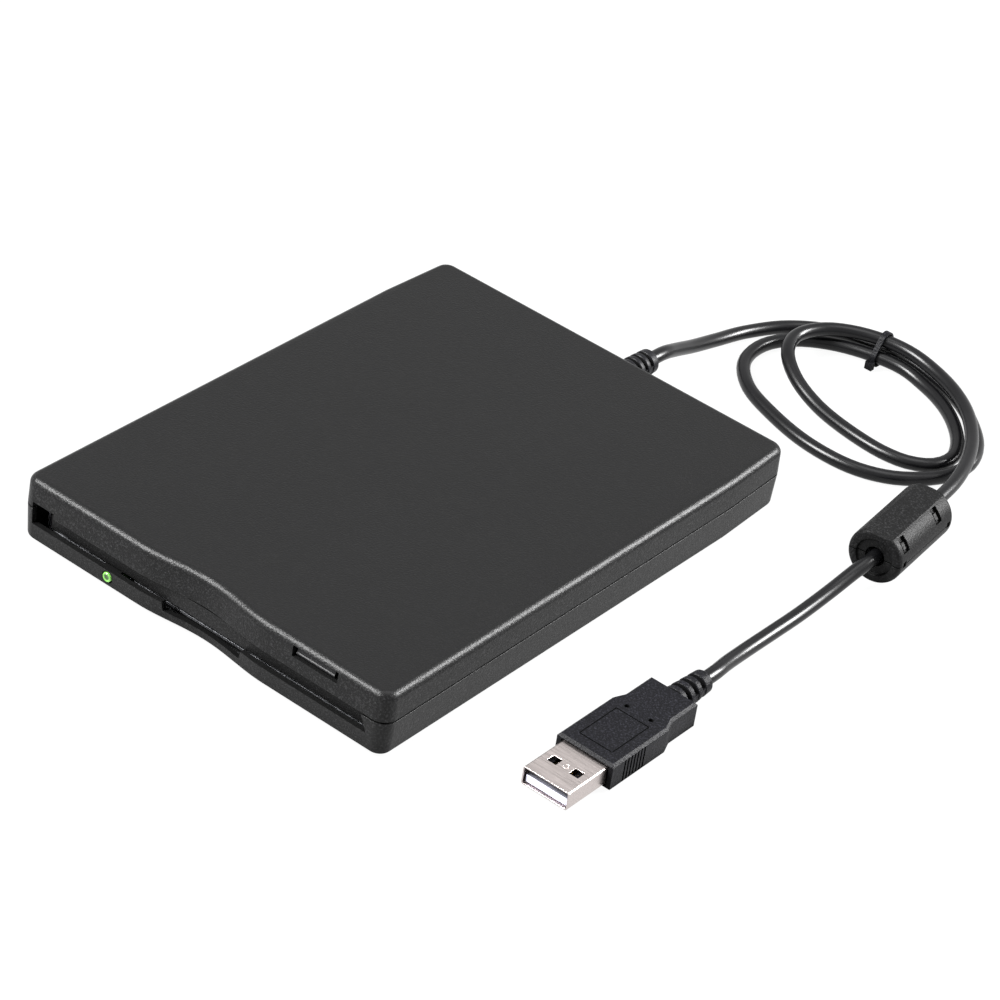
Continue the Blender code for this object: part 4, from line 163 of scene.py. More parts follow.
# Lead
CABLE_RADIUS = 0.0017
CABLE_ROUTE = (
    (0.0045, 0.0796, 0.0122), (0.0045, 0.0845, 0.0120), (0.0034, 0.0912, 0.0096),
    (0.0022, 0.1010, 0.0060), (0.0019, 0.1115, 0.0033), (0.0034, 0.1220, 0.0020),
    (0.0086, 0.1326, 0.0017), (0.0175, 0.1396, 0.0020), (0.0313, 0.1421, 0.0026),
    (0.0391, 0.1430, 0.0023), (0.0474, 0.1416, 0.0017), (0.0565, 0.1376, 0.0017),
    (0.0642, 0.1316, 0.0017), (0.0697, 0.1250, 0.0017), (0.0725, 0.1174, 0.0017),
    (0.0716, 0.1096, 0.0017), (0.0680, 0.1032, 0.0017), (0.0624, 0.0979, 0.0017),
    (0.0543, 0.0946, 0.0017), (0.0419, 0.0945, 0.0017), (0.0289, 0.0980, 0.0017),
    (0.0179, 0.1033, 0.0017), (0.0108, 0.1116, 0.0017), (0.0096, 0.1215, 0.0017),
    (0.0136, 0.1296, 0.0017), (0.0215, 0.1350, 0.0021), (0.0319, 0.1378, 0.0026),
    (0.0389, 0.1388, 0.0023), (0.0461, 0.1375, 0.0017), (0.0541, 0.1338, 0.0017),
    (0.0610, 0.1283, 0.0017), (0.0657, 0.1225, 0.0017), (0.0682, 0.1163, 0.0017),
    (0.0669, 0.1106, 0.0017), (0.0626, 0.1070, 0.0017), (0.0565, 0.1056, 0.0017),
    (0.0465, 0.1063, 0.0017), (0.0340, 0.1092, 0.0020), (0.0250, 0.1124, 0.0039),
    (0.0186, 0.1174, 0.0059), (0.0160, 0.1246, 0.0063), (0.0186, 0.1322, 0.0063),
    (0.0242, 0.1372, 0.0062), (0.0316, 0.1400, 0.0062), (0.0390, 0.1409, 0.0059),
    (0.0467, 0.1396, 0.0054), (0.0553, 0.1358, 0.0053), (0.0628, 0.1300, 0.0054),
    (0.0696, 0.1215, 0.0057), (0.0746, 0.1116, 0.0061), (0.0776, 0.1020, 0.0064),
    (0.0790, 0.0925, 0.00655), (0.0802, 0.0813, 0.00655), (0.0815, 0.0693, 0.00655),
    (0.08246, 0.0605, 0.00645), (0.0818, 0.0568, 0.0054), (0.0810, 0.0486, 0.0033),
    (0.0805, 0.0376, 0.0019), (0.0803, 0.0272, 0.0017), (0.0804, 0.0170, 0.0020),
    (0.0810, 0.0096, 0.0028), (0.0817, 0.0048, 0.0034), (0.0817, 0.0008, 0.0034),
)
ROUTE_FINE_STEPS = 24
CABLE_SAMPLES = 260
TIED_STRANDS = ((0.1421, 0.0026), (0.1378, 0.0026), (0.1400, 0.0062))
TIE_X = 0.0316

BEAD_FRONT = Vector((0.08225, 0.06239, 0.00655))
BEAD_REAR = Vector((0.07949, 0.08792, 0.00655))
BEAD_RADIUS = 0.00675
BEAD_TOP_FLAT = 0.00585
BEAD_FILLET = 0.0012
BEAD_RIM = 0.0012
BEAD_DISH = 0.0006
BEAD_CAVITY = 0.00535
BEAD_END_WALL = 0.0016
BEAD_HOLE = 0.0024
BEAD_WINDOW_LONG = 0.0026
BEAD_WINDOW_HIGH = 0.0038
BEAD_WINDOW_DEEP = 0.0009
BEAD_WINDOW_PLACES = (-0.0094, 0.0059)
BEAD_WINDOW_LEAN = math.radians(40)
HOOK_LONG = (-0.30, 0.14)
HOOK_HIGH = (-0.30, 0.16)
HOOK_SUNK = 0.25

PLUG_X = 0.0817
PLUG_Z = 0.0034
PLUG_TIP_Y = -0.0534
SHELL_REAR_Y = -0.0378
SHELL_HALF = 0.006
SHELL_TALL_HALF = 0.00225
SHELL_SHEET = 0.0003
GRIP_FRONT_Y = -0.0408
GRIP_REAR_Y = -0.0104
GRIP_HALF = 0.0074
GRIP_WAIST_HALF = 0.0062
GRIP_TALL_HALF = 0.0034
TAIL_LENGTH = 0.0109
SLEEVE_MOUTH = 0.0008
SPINE_HALF = 0.0008
CONTACT_PLACES = (-0.0035, -0.0010, 0.0010, 0.0035)

# Steps of the finer meshes
CORNER_STEPS = 10
FINGER_STEPS = 40
FILLET_STEPS = 8
ROUND_SIDES = 48
SMOOTH_ANGLE = math.radians(32)


# Settings


def colour_setting(name, description, default):
    return FloatVectorProperty(name=name, description=description, default=default, subtype="COLOR",
                               min=0, max=1)


def length_setting(name, description, default, least=0.0):
    return FloatProperty(name=name, description=description, default=default, unit="LENGTH", min=least)


def angle_setting(name, description, degrees):
    return FloatProperty(name=name, description=description, default=math.radians(degrees),
                         subtype="ANGLE", unit="ROTATION")


def share_setting(name, description, default):
    return FloatProperty(name=name, description=description, default=default, subtype="FACTOR",
                         min=0, max=1)


class CaseSettings(bpy.types.PropertyGroup):
    """Finish of the two shells and of what sits in their front"""

    shell_colour: colour_setting("Shell colour", "Colour of the moulded shells", (0.0046, 0.0046, 0.0047))
    door_colour: colour_setting("Door colour", "Colour of the dust door", (0.0046, 0.0046, 0.0047))
    button_colour: colour_setting("Button colour", "Colour of the eject button", (0.0065, 0.0065, 0.0070))
    lamp_colour: colour_setting("Lamp colour", "Colour of the lamp's lens", (0.10, 0.27, 0.045))
    grain: length_setting("Grain", "Size of one bump of the spark texture", 0.00042, 0.00005)
    grain_depth: length_setting("Grain depth", "Depth of the spark texture", 0.00005)
    edge_bevel: length_setting("Edge bevel", "Width of the rounding on cut edges", 0.00018)


class MechanismSettings(bpy.types.PropertyGroup):
    """Finish of the drive inside the case"""

    zinc_colour: colour_setting("Zinc colour", "Colour of the plated frame", (0.56, 0.57, 0.60))
    sheet_colour: colour_setting("Sheet colour", "Colour of the bright pressed sheet", (0.64, 0.65, 0.66))
    board_colour: colour_setting("Board colour", "Colour of the solder mask", (0.012, 0.11, 0.045))
    thread_turns: IntProperty(
        name="Thread turns", description="Turns of the thread along the lead screw", default=15, min=1)
    spring_turns: IntProperty(
        name="Spring turns", description="Turns of each eject spring", default=9, min=2)
    edge_bevel: length_setting("Edge bevel", "Width of the rounding on pressed edges", 0.00008)


class LeadSettings(bpy.types.PropertyGroup):
    """Finish of the cable, its tie, the bead and the plug"""

    jacket_colour: colour_setting("Jacket colour", "Colour of the cable's jacket", (0.0024, 0.0024, 0.0028))
    moulding_colour: colour_setting("Moulding colour", "Colour of the grip and the strain relief",
                                    (0.0028, 0.0028, 0.0036))
    bead_colour: colour_setting("Bead colour", "Colour of the bead's shell", (0.0032, 0.0032, 0.0033))
    nickel_colour: colour_setting("Nickel colour", "Colour of the plug's shell", (0.60, 0.540, 0.522))
    tongue_colour: colour_setting("Tongue colour", "Colour of the insulator in the plug", (0.76, 0.76, 0.90))
    jacket_roughness: share_setting("Jacket roughness", "Roughness of the cable's jacket", 0.29)


class StageSettings(bpy.types.PropertyGroup):
    """Camera, lamps and floor"""

    azimuth: angle_setting("Azimuth", "Turn of the camera to the right of the front", 34.50)
    elevation: angle_setting("Elevation", "Height of the camera over the horizon", 34.50)
    roll: angle_setting("Roll", "Roll of the camera about its own axis", 8.82)
    distance: length_setting("Distance", "Distance from the camera to its target", 0.87263, 0.1)
    target: FloatVectorProperty(
        name="Target", description="Point that the camera looks at", subtype="TRANSLATION",
        default=(0.00916, 0.02046, 0.0017))
    lens: FloatProperty(
        name="Lens", description="Focal length in millimetres on a 36 mm sensor", default=139.95, min=1)
    floor_white: share_setting("Floor white", "Share of plain white in what is seen of the floor", 0.94)
    world_level: FloatProperty(
        name="World level", description="Strength of the even light from all round", default=0.78, min=0)


# Mesh helpers


def mesh_from(vertices, faces):
    mesh = bpy.data.meshes.new("shape")
    mesh.from_pydata([tuple(vertex) for vertex in vertices], [], faces)
    work = bmesh.new()
    work.from_mesh(mesh)
    bmesh.ops.remove_doubles(work, verts=work.verts, dist=1e-7)
    bmesh.ops.recalc_face_normals(work, faces=work.faces)
    work.to_mesh(mesh)
    work.free()
    return mesh


def loft(rings):
    """A closed skin through rings of as many points each."""
    count = len(rings[0])
    vertices = [point for ring in rings for point in ring]
    faces = [tuple(reversed(range(count)))]
    for level in range(len(rings) - 1):
        for i in range(count):
            j = (i + 1) % count
            low, high = level * count, (level + 1) * count
            faces.append((low + i, low + j, high + j, high + i))
    faces.append(tuple(range((len(rings) - 1) * count, len(rings) * count)))
    return mesh_from(vertices, faces)


def prism(axis, low, high, outline):
    """An outline pushed along an axis: Z takes (x, y), Y takes (x, z) and X takes (y, z)."""
    spot = "XYZ".index(axis)
    return loft([[(*pair[:spot], height, *pair[spot:]) for pair in outline] for height in (low, high)])


def box(low, high):
    (x0, y0, z0), (x1, y1, z1) = low, high
    return prism("Z", z0, z1, [(x0, y0), (x1, y0), (x1, y1), (x0, y1)])


def revolve(profile, place, sides=ROUND_SIDES):
    """A profile of (radius, height) turned about its own Z, then put in place."""
    rings = []
    for i in range(sides):
        angle = 2 * math.pi * i / sides
        rings.append([(radius * math.cos(angle), radius * math.sin(angle), height)
                      for radius, height in profile])
    count = len(profile)
    vertices = [place @ Vector(point) for ring in rings for point in ring]
    faces = []
    for i in range(sides):
        j = (i + 1) % sides
        for k in range(count - 1):
            if profile[k][0] == 0 and profile[k + 1][0] == 0:
                continue
            faces.append((i * count + k, j * count + k, j * count + k + 1, i * count + k + 1))
    return mesh_from(vertices, faces)


def rod(start, end, radius, sides=ROUND_SIDES):
    start, end = Vector(start), Vector(end)
    along = end - start
    place = Matrix.Translation(start) @ along.to_track_quat("Z", "Y").to_matrix().to_4x4()
    return revolve([(0, 0), (radius, 0), (radius, along.length), (0, along.length)], place, sides)


def upright(across, along, low, high, radius, sides=ROUND_SIDES):
    return rod((across, along, low), (across, along, high), radius, sides)


def arc(centre, radius, start_degrees, end_degrees, steps):
    points = []
    for step in range(steps + 1):
        angle = math.radians(start_degrees + (end_degrees - start_degrees) * step / steps)
        points.append((centre[0] + radius * math.cos(angle), centre[1] + radius * math.sin(angle)))
    return points


def rounded(left, low, right, high, radius, steps=6):
    """A rectangle with round corners, counter-clockwise."""
    points = []
    for across, up, start in ((right, high, 0), (left, high, 90), (left, low, 180), (right, low, 270)):
        centre = (across - math.copysign(radius, across - (left + right) / 2),
                  up - math.copysign(radius, up - (low + high) / 2))
        points += arc(centre, radius, start, start + 90, steps)
    return points


def helix(centre, axis, radius, turns, length, steps=20):
    """Points of a coil from centre along X or Y."""
    points = []
    for i in range(turns * steps + 1):
        angle = 2 * math.pi * i / steps
        along = length * i / (turns * steps)
        side, up = radius * math.cos(angle), radius * math.sin(angle)
        offset = (side, along, up) if axis == "Y" else (along, side, up)
        points.append(Vector(centre) + Vector(offset))
    return points


def sweep(points, radius, sides=8):
    """A round tube of mesh along points, with closed ends."""
    points = [Vector(point) for point in points]
    rings = []
    normal = None
    for i, point in enumerate(points):
        ahead = (points[min(i + 1, len(points) - 1)] - points[max(i - 1, 0)]).normalized()
        if normal is None:
            normal = ahead.orthogonal().normalized()
        normal = (normal - ahead * normal.dot(ahead)).normalized()
        side = ahead.cross(normal)
        rings.append([point + radius * (math.cos(a) * normal + math.sin(a) * side)
                      for a in (2 * math.pi * k / sides for k in range(sides))])
    return loft(rings)


def make_object(name, mesh):
    obj = bpy.data.objects.new(name, mesh)
    bpy.context.scene.collection.objects.link(obj)
    return obj


def settled(obj):
    """Turns the object's modifiers into its own mesh."""
    bpy.context.view_layer.update()
    mesh = bpy.data.meshes.new_from_object(obj.evaluated_get(bpy.context.evaluated_depsgraph_get()))
    obj.modifiers.clear()
    obj.data = mesh


def solid(name, adds, cuts=(), bevel=0.0, segments=2, angle=40, place=None):
    """One closed piece from added and cut shapes, with its edges rounded."""
    obj = make_object(name, adds[0])
    helpers = []
    for operation, shapes in (("UNION", adds[1:]), ("DIFFERENCE", cuts)):
        for shape in shapes:
            helper = make_object("helper", shape)
            helpers.append(helper)
            modifier = obj.modifiers.new("Shape", "BOOLEAN")
            modifier.operation, modifier.object, modifier.solver = operation, helper, "EXACT"
    if helpers:
        settled(obj)
    for helper in helpers:
        bpy.data.objects.remove(helper)
    if place is not None:
        obj.data.transform(place)
    if bevel > 0:
        tidy = bmesh.new()
        tidy.from_mesh(obj.data)
        bmesh.ops.remove_doubles(tidy, verts=tidy.verts, dist=2e-6)
        bmesh.ops.dissolve_limit(tidy, angle_limit=math.radians(0.5), verts=tidy.verts, edges=tidy.edges)
        tidy.to_mesh(obj.data)
        tidy.free()
        modifier = obj.modifiers.new("Edges", "BEVEL")
        modifier.width, modifier.segments = bevel, segments
        modifier.limit_method, modifier.angle_limit = "ANGLE", math.radians(angle)
        modifier.harden_normals = False
        modifier.miter_outer = "MITER_ARC"
        settled(obj)
    smooth(obj)
    obj.data.name = name
    return obj


def smooth(obj):
    """Smooth shading in which large flat faces stay flat."""
    obj.data.shade_smooth()
    obj.data.set_sharp_from_angle(angle=SMOOTH_ANGLE)
    modifier = obj.modifiers.new("Flat faces", "WEIGHTED_NORMAL")
    modifier.weight, modifier.keep_sharp = 100, True
    settled(obj)


def dress(obj, body, material, slot, *nodes):
    """Rides on its body, takes its finish, and stands for the CAD nodes."""
    obj.data.materials.clear()
    obj.data.materials.append(material)
    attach(obj, body)
    if nodes:
        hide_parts(*nodes)
    return obj


def along_y(across, start, height):
    """Turns a profile's height into distance along +Y."""
    return Matrix.Translation((across, start, height)) @ Matrix.Rotation(math.radians(-90), 4, "X")


# Shader groups and materials


def feed(node, links):
    """Sets a node's inputs; links are (input name or number, source socket or value)."""
    for target, source in links:
        if isinstance(source, bpy.types.NodeSocket):
            node.id_data.links.new(source, node.inputs[target])
        else:
            node.inputs[target].default_value = source
    return node


def add_node(tree, kind, links=(), **settings):
    node = tree.nodes.new(kind)
    for key, value in settings.items():
        setattr(node, key, value)
    return feed(node, links)


def math_node(tree, operation, *values):
    return add_node(tree, "ShaderNodeMath", enumerate(values), operation=operation).outputs[0]


def vector_node(tree, operation, *values):
    return add_node(tree, "ShaderNodeVectorMath", enumerate(values), operation=operation).outputs


def ranged(tree, value, low, high, to_low=0.0, to_high=1.0):
    node = add_node(tree, "ShaderNodeMapRange", [
        ("Value", value), ("From Min", low), ("From Max", high), ("To Min", to_low), ("To Max", to_high)])
    return node.outputs["Result"]


def own_place(tree):
    return add_node(tree, "ShaderNodeTexCoord").outputs["Object"]


def noise(tree, scale, detail, roughness=0.5, place=None):
    """Noise over the object's own coordinates, or over another place."""
    return add_node(tree, "ShaderNodeTexNoise", [
        ("Vector", place or own_place(tree)), ("Scale", scale), ("Detail", detail),
        ("Roughness", roughness)]).outputs["Fac"]


def cells(tree, scale, **settings):
    return add_node(tree, "ShaderNodeTexVoronoi", [("Vector", own_place(tree)), ("Scale", scale)],
                    **settings).outputs["Distance"]


def surface_normal(tree):
    return add_node(tree, "ShaderNodeNewGeometry").outputs["Normal"]


def upward(tree):
    """One on faces that look up, minus one on faces that look down."""
    return add_node(tree, "ShaderNodeSeparateXYZ", [(0, surface_normal(tree))]).outputs["Z"]


def shared_group(name, inputs, outputs, fill):
    """A shader group made once: fill takes its tree and given inputs, and returns what it puts out."""
    if name in bpy.data.node_groups:
        return bpy.data.node_groups[name]
    tree = bpy.data.node_groups.new(name, "ShaderNodeTree")
    for label, default in inputs.items():
        kind = "NodeSocketVector" if isinstance(default, tuple) else "NodeSocketFloat"
        tree.interface.new_socket(label, in_out="INPUT", socket_type=kind).default_value = default
    for label in outputs:
        tree.interface.new_socket(label, in_out="OUTPUT", socket_type="NodeSocketFloat")
    given = tree.nodes.new("NodeGroupInput").outputs
    feed(tree.nodes.new("NodeGroupOutput"), zip(outputs, fill(tree, given)))
    return tree


def moulded_grain():
    """Fine spark texture: a height, broad mottling and a mask of small specks, which the plastics paint as
    bright glints.
    """
    def fill(tree, given):
        fine = noise(tree, given["Scale"], 3.0, 0.6)
        height = math_node(tree, "MULTIPLY_ADD", cells(tree, given["Scale"]), 0.6, fine)
        broad = noise(tree, math_node(tree, "MULTIPLY", given["Scale"], 0.012), 4.0)
        return height, ranged(tree, broad, 0.3, 0.7), ranged(tree, fine, 0.51, 0.68)
    return shared_group("Moulded grain", {"Scale": 3000.0}, ("Height", "Mottle", "Spark"), fill)


def edge_wear():
    """A mask that rises on edges, broken up by noise."""
    def fill(tree, given):
        softened = add_node(tree, "ShaderNodeBevel", [("Radius", given["Radius"])]).outputs["Normal"]
        agreement = vector_node(tree, "DOT_PRODUCT", softened, surface_normal(tree))["Value"]
        broken = ranged(tree, noise(tree, given["Breakup"], 4.0), 0.40, 0.62)
        return [math_node(tree, "MULTIPLY", ranged(tree, agreement, 0.995, 0.90), broken)]
    return shared_group("Edge wear", {"Radius": 0.0003, "Breakup": 700.0}, ("Mask",), fill)


def settled_dust():
    """A faint mask on faces that look up."""
    def fill(tree, given):
        specks = ranged(tree, noise(tree, given["Scale"], 6.0, 0.7), 0.5, 0.8)
        return [math_node(tree, "MULTIPLY", ranged(tree, upward(tree), 0.3, 1.0), specks)]
    return shared_group("Settled dust", {"Scale": 250.0}, ("Mask",), fill)


def crevice_shade():
    """A mask for painted shade, which falls to nothing deep in slots and holes, but not on faces that look
    down at the floor.
    """
    def fill(tree, given):
        sky = add_node(tree, "ShaderNodeAmbientOcclusion", [("Distance", given["Reach"])], samples=8)
        shade = ranged(tree, sky.outputs["AO"], 0.45, 0.95)
        return [math_node(tree, "MAXIMUM", shade, ranged(tree, upward(tree), -0.70, -0.95))]
    return shared_group("Painted crevice shade", {"Reach": 0.005}, ("Mask",), fill)


def drawn_lines():
    """Streaks of brushed or drawn metal."""
    def fill(tree, given):
        drawn = vector_node(tree, "MULTIPLY", own_place(tree), given["Stretch"])["Vector"]
        lines = noise(tree, 1.0, 4.0, 0.65, drawn)
        return lines, ranged(tree, lines, 0.3, 0.7)
    return shared_group("Drawn lines", {"Stretch": (1.0, 1.0, 1.0)}, ("Height", "Streak"), fill)


def use_group(tree, group, **values):
    return add_node(tree, "ShaderNodeGroup", values.items(), node_tree=group).outputs


def new_material(name):
    material = bpy.data.materials.new(name)
    material.use_nodes = True
    tree = material.node_tree
    tree.nodes.clear()
    out = add_node(tree, "ShaderNodeOutputMaterial")
    shader = add_node(tree, "ShaderNodeBsdfPrincipled")
    feed(out, [("Surface", shader.outputs[0])])
    return material, tree, shader, out


def add_bump(tree, shader, height, depth):
    bump = add_node(tree, "ShaderNodeBump", [("Height", height), ("Distance", depth), ("Strength", 1.0)])
    feed(shader, [("Normal", bump.outputs["Normal"])])


def mixed(tree, mask, first, second):
    """A colour between two, where each is a colour or a socket."""
    sources = [value if isinstance(value, bpy.types.NodeSocket) else (*value[:3], 1.0)
               for value in (first, second)]
    links = [(0, mask), (6, sources[0]), (7, sources[1])]
    return add_node(tree, "ShaderNodeMix", links, data_type="RGBA").outputs[2]


def veiled(tree, mask, amount, base, over):
    """The base with another colour over it, by a mask times an amount."""
    return mixed(tree, math_node(tree, "MULTIPLY", mask, amount), base, over)


def tinted(colour, factor):
    return tuple(min(1.0, part * factor) for part in colour)


def plastic(name, colour, roughness, grain, depth, spark=4.0, wear=0.08, dust=0.002, gloss=0.18, glint_on_top=0.12):
    """Moulded plastic: grain whose specks are painted as glints, strongest on the walls, mottling, edge wear,
    dust and painted shade in crevices.
    """
    material, tree, shader, _ = new_material(name)
    spread = 0.015
    dust_colour = (0.30, 0.29, 0.27)
    texture = use_group(tree, moulded_grain(), Scale=1 / grain)
    worn = use_group(tree, edge_wear(), Radius=grain * 1.2, Breakup=0.25 / grain)["Mask"]
    dusty = use_group(tree, settled_dust(), Scale=0.08 / grain)["Mask"]
    lit = use_group(tree, crevice_shade())["Mask"]
    # Painted glint: the grain's specks are painted brighter, by a share that differs between the walls and the
    # faces that look up or down.
    glint_on_walls = ranged(tree, math_node(tree, "ABSOLUTE", upward(tree)), 0.80, 0.99, 0.8, glint_on_top)
    base = mixed(tree, texture["Mottle"], tinted(colour, 0.985), tinted(colour, 1.015))
    base = veiled(tree, texture["Spark"], glint_on_walls, base, tinted(colour, spark))
    base = veiled(tree, worn, wear, base, tinted(colour, 3.2))
    base = veiled(tree, dusty, dust, base, dust_colour)
    rough = ranged(tree, texture["Mottle"], 0.0, 1.0, roughness - spread, roughness + spread)
    # Painted shade: deep in slots, holes and crevices the colour falls to 0.12 of itself and the roughness
    # rises.
    rougher = ranged(tree, lit, 0.0, 1.0, 0.9, 0.0)
    feed(shader, [("Base Color", mixed(tree, lit, tinted(colour, 0.12), base)),
                  ("Roughness", math_node(tree, "MAXIMUM", rough, rougher)), ("Specular IOR Level", gloss)])
    add_bump(tree, shader, texture["Height"], depth)
    return material


def metal(name, colour, roughness, stretch, depth=0.000004, wear=0.3, tarnish=0.72):
    """Drawn, brushed or plated metal, with streaks, blotches and bright edges."""
    material, tree, shader, _ = new_material(name)
    lines = use_group(tree, drawn_lines(), Stretch=stretch)
    worn = use_group(tree, edge_wear(), Radius=0.00015, Breakup=900.0)["Mask"]
    blotches = use_group(tree, moulded_grain(), Scale=1800.0)["Mottle"]
    base = mixed(tree, lines["Streak"], tinted(colour, 0.88), tinted(colour, 1.06))
    base = veiled(tree, blotches, 0.25, base, tinted(colour, tarnish))
    base = veiled(tree, worn, wear, base, tinted(colour, 1.25))
    rough = ranged(tree, lines["Streak"], 0.0, 1.0, roughness - 0.06, roughness + 0.08)
    feed(shader, [("Base Color", base), ("Roughness", rough), ("Metallic", 1.0)])
    add_bump(tree, shader, lines["Height"], depth)
    return material


def clear_lens(name, colour):
    """A moulded green lens with a painted glow, a painted highlight at its rim and painted shade in its
    middle.
    """
    material, tree, shader, _ = new_material(name)
    # Painted highlight on a ring at the rim of the lens, and painted shade in its middle.
    offset = vector_node(tree, "SUBTRACT", own_place(tree), (LED_X, 0.0, LED_Z))["Vector"]
    flat = vector_node(tree, "MULTIPLY", offset, (1.0, 0.0, 1.0))["Vector"]
    rim_highlight = ranged(tree, vector_node(tree, "LENGTH", flat)["Value"], 0.00055, 0.0008)
    blotches = use_group(tree, moulded_grain(), Scale=4000.0)["Mottle"]
    base = mixed(tree, rim_highlight, tinted(colour, 0.12), tinted(colour, 1.25))
    base = veiled(tree, blotches, 0.15, base, tinted(colour, 0.6))
    # Painted glow: the lens emits its painted colour.
    feed(shader, [("Base Color", base), ("Emission Color", base), ("Emission Strength", 0.10),
                  ("Roughness", 0.12), ("Coat Weight", 0.6)])
    return material


def circuit_board(name, colour):
    """Solder mask over traces, with tinned pads."""
    material, tree, shader, _ = new_material(name)
    edges = cells(tree, 700.0, distance="MANHATTAN", feature="DISTANCE_TO_EDGE")
    trace = ranged(tree, edges, 0.05, 0.09, 1.0, 0.0)
    pad = ranged(tree, cells(tree, 520.0), 0.12, 0.17, 1.0, 0.0)
    blotches = use_group(tree, moulded_grain(), Scale=2500.0)["Mottle"]
    base = mixed(tree, trace, colour, tinted(colour, 2.2))
    base = veiled(tree, blotches, 0.2, base, tinted(colour, 0.7))
    feed(shader, [("Base Color", mixed(tree, pad, base, (0.62, 0.62, 0.60))),
                  ("Roughness", ranged(tree, pad, 0.0, 1.0, 0.38, 0.25)), ("Metallic", pad)])
    add_bump(tree, shader, trace, 0.00003)
    return material


def jacket(name, colour, roughness):
    """Glossy extruded jacket, with faint scuffs and a soft waviness."""
    material, tree, shader, _ = new_material(name)
    wavy = noise(tree, 300.0, 3.0)
    marks = ranged(tree, noise(tree, 1400.0, 6.0, 0.75), 0.60, 0.75)
    base = mixed(tree, ranged(tree, wavy, 0.3, 0.7), tinted(colour, 0.85), tinted(colour, 1.15))
    base = veiled(tree, marks, 0.35, base, tinted(colour, 3.0))
    rough = ranged(tree, marks, 0.0, 1.0, roughness, roughness + 0.18)
    feed(shader, [("Base Color", base), ("Roughness", rough), ("Specular IOR Level", 0.24)])
    add_bump(tree, shader, wavy, 0.000003)
    return material


FINISHES = {}


def finishes():
    """Every material of the object, by the record's slot."""
    if FINISHES:
        return FINISHES
    case = bpy.context.scene.floppy_case
    drive = bpy.context.scene.floppy_mechanism
    lead = bpy.context.scene.floppy_lead
    grain, depth = case.grain, case.grain_depth
    shell = {"spark": 4.2, "gloss": 0.14}
    coarse = {"spark": 4.5, "gloss": 0.09, "glint_on_top": 1.0}
    relief_colour = tinted(lead.moulding_colour, 1.25)
    FINISHES.update({
        "case_black": plastic("Charcoal shell", case.shell_colour, 0.34, grain, depth, **shell),
        "door_grey": plastic("Grey door", case.door_colour, 0.38, grain, depth, **shell),
        "button_black": plastic("Button black", case.button_colour, 0.34, grain * 0.8, depth * 0.5),
        "lens_green": clear_lens("Green lens", case.lamp_colour),
        "rubber_black": plastic("Foot rubber", (0.013, 0.013, 0.013), 0.78, 0.00025, 0.00003, dust=0.3),
        "screw_steel": metal("Screw steel", (0.50, 0.50, 0.51), 0.32, (900.0, 900.0, 900.0)),
        "zinc_sheet": metal("Zinc plate", drive.zinc_colour, 0.40, (500.0, 500.0, 500.0), tarnish=0.6),
        "bright_sheet": metal("Pressed sheet", drive.sheet_colour, 0.32, (2400.0, 120.0, 2400.0)),
        "spring_steel": metal("Spring wire", (0.46, 0.46, 0.47), 0.26, (1500.0, 1500.0, 1500.0)),
        "board_green": circuit_board("Solder mask", drive.board_colour),
        "chip_black": plastic("Chip black", (0.020, 0.020, 0.022), 0.52, 0.00012, 0.00001),
        "connector_white": plastic("Nylon white", (0.72, 0.71, 0.66), 0.42, 0.0004, 0.000008, spark=1.05),
        "flex_amber": metal("Amber film", (0.50, 0.25, 0.06), 0.35, (3200.0, 60.0, 60.0)),
        "moulded_grey": plastic("Moulded grey", (0.10, 0.10, 0.105), 0.50, 0.0003, 0.00002, spark=1.3),
        "brass": metal("Turned brass", (0.68, 0.48, 0.22), 0.28, (300.0, 3000.0, 300.0)),
        "winding_copper": metal("Copper winding", (0.66, 0.32, 0.16), 0.34, (2600.0, 2600.0, 900.0)),
        "head_ceramic": plastic("Ground ceramic", (0.46, 0.42, 0.36), 0.30, 0.0002, 0.000004, spark=1.1),
        "cable_black": jacket("Cable jacket", lead.jacket_colour, lead.jacket_roughness),
        "ferrite_grey": plastic("Sintered ferrite", (0.075, 0.075, 0.08), 0.55, 0.00015, 0.00002, spark=2.0),
        "plug_black": plastic("Lead moulding", lead.moulding_colour, 0.42, 0.00042, 0.00009, **coarse),
        "nickel": metal("Nickel shell", lead.nickel_colour, 0.30, (160.0, 2600.0, 2600.0), 0.0000004, 0.0),
        "tongue_lavender": plastic("Lavender insulator", lead.tongue_colour, 0.38, 0.0004, 0.000006,
                                   spark=1.02, wear=0.1, dust=0.0),
        "relief_black": plastic("Relief moulding", relief_colour, 0.42, 0.0003, 0.00002, gloss=0.14),
        "bead_black": plastic("Bead shell", lead.bead_colour, 0.44, 0.00042, 0.00006, **coarse),
        "contact_gold": metal("Contact gold", (0.80, 0.58, 0.26), 0.24, (200.0, 2200.0, 2200.0)),
    })
    return FINISHES


# Case


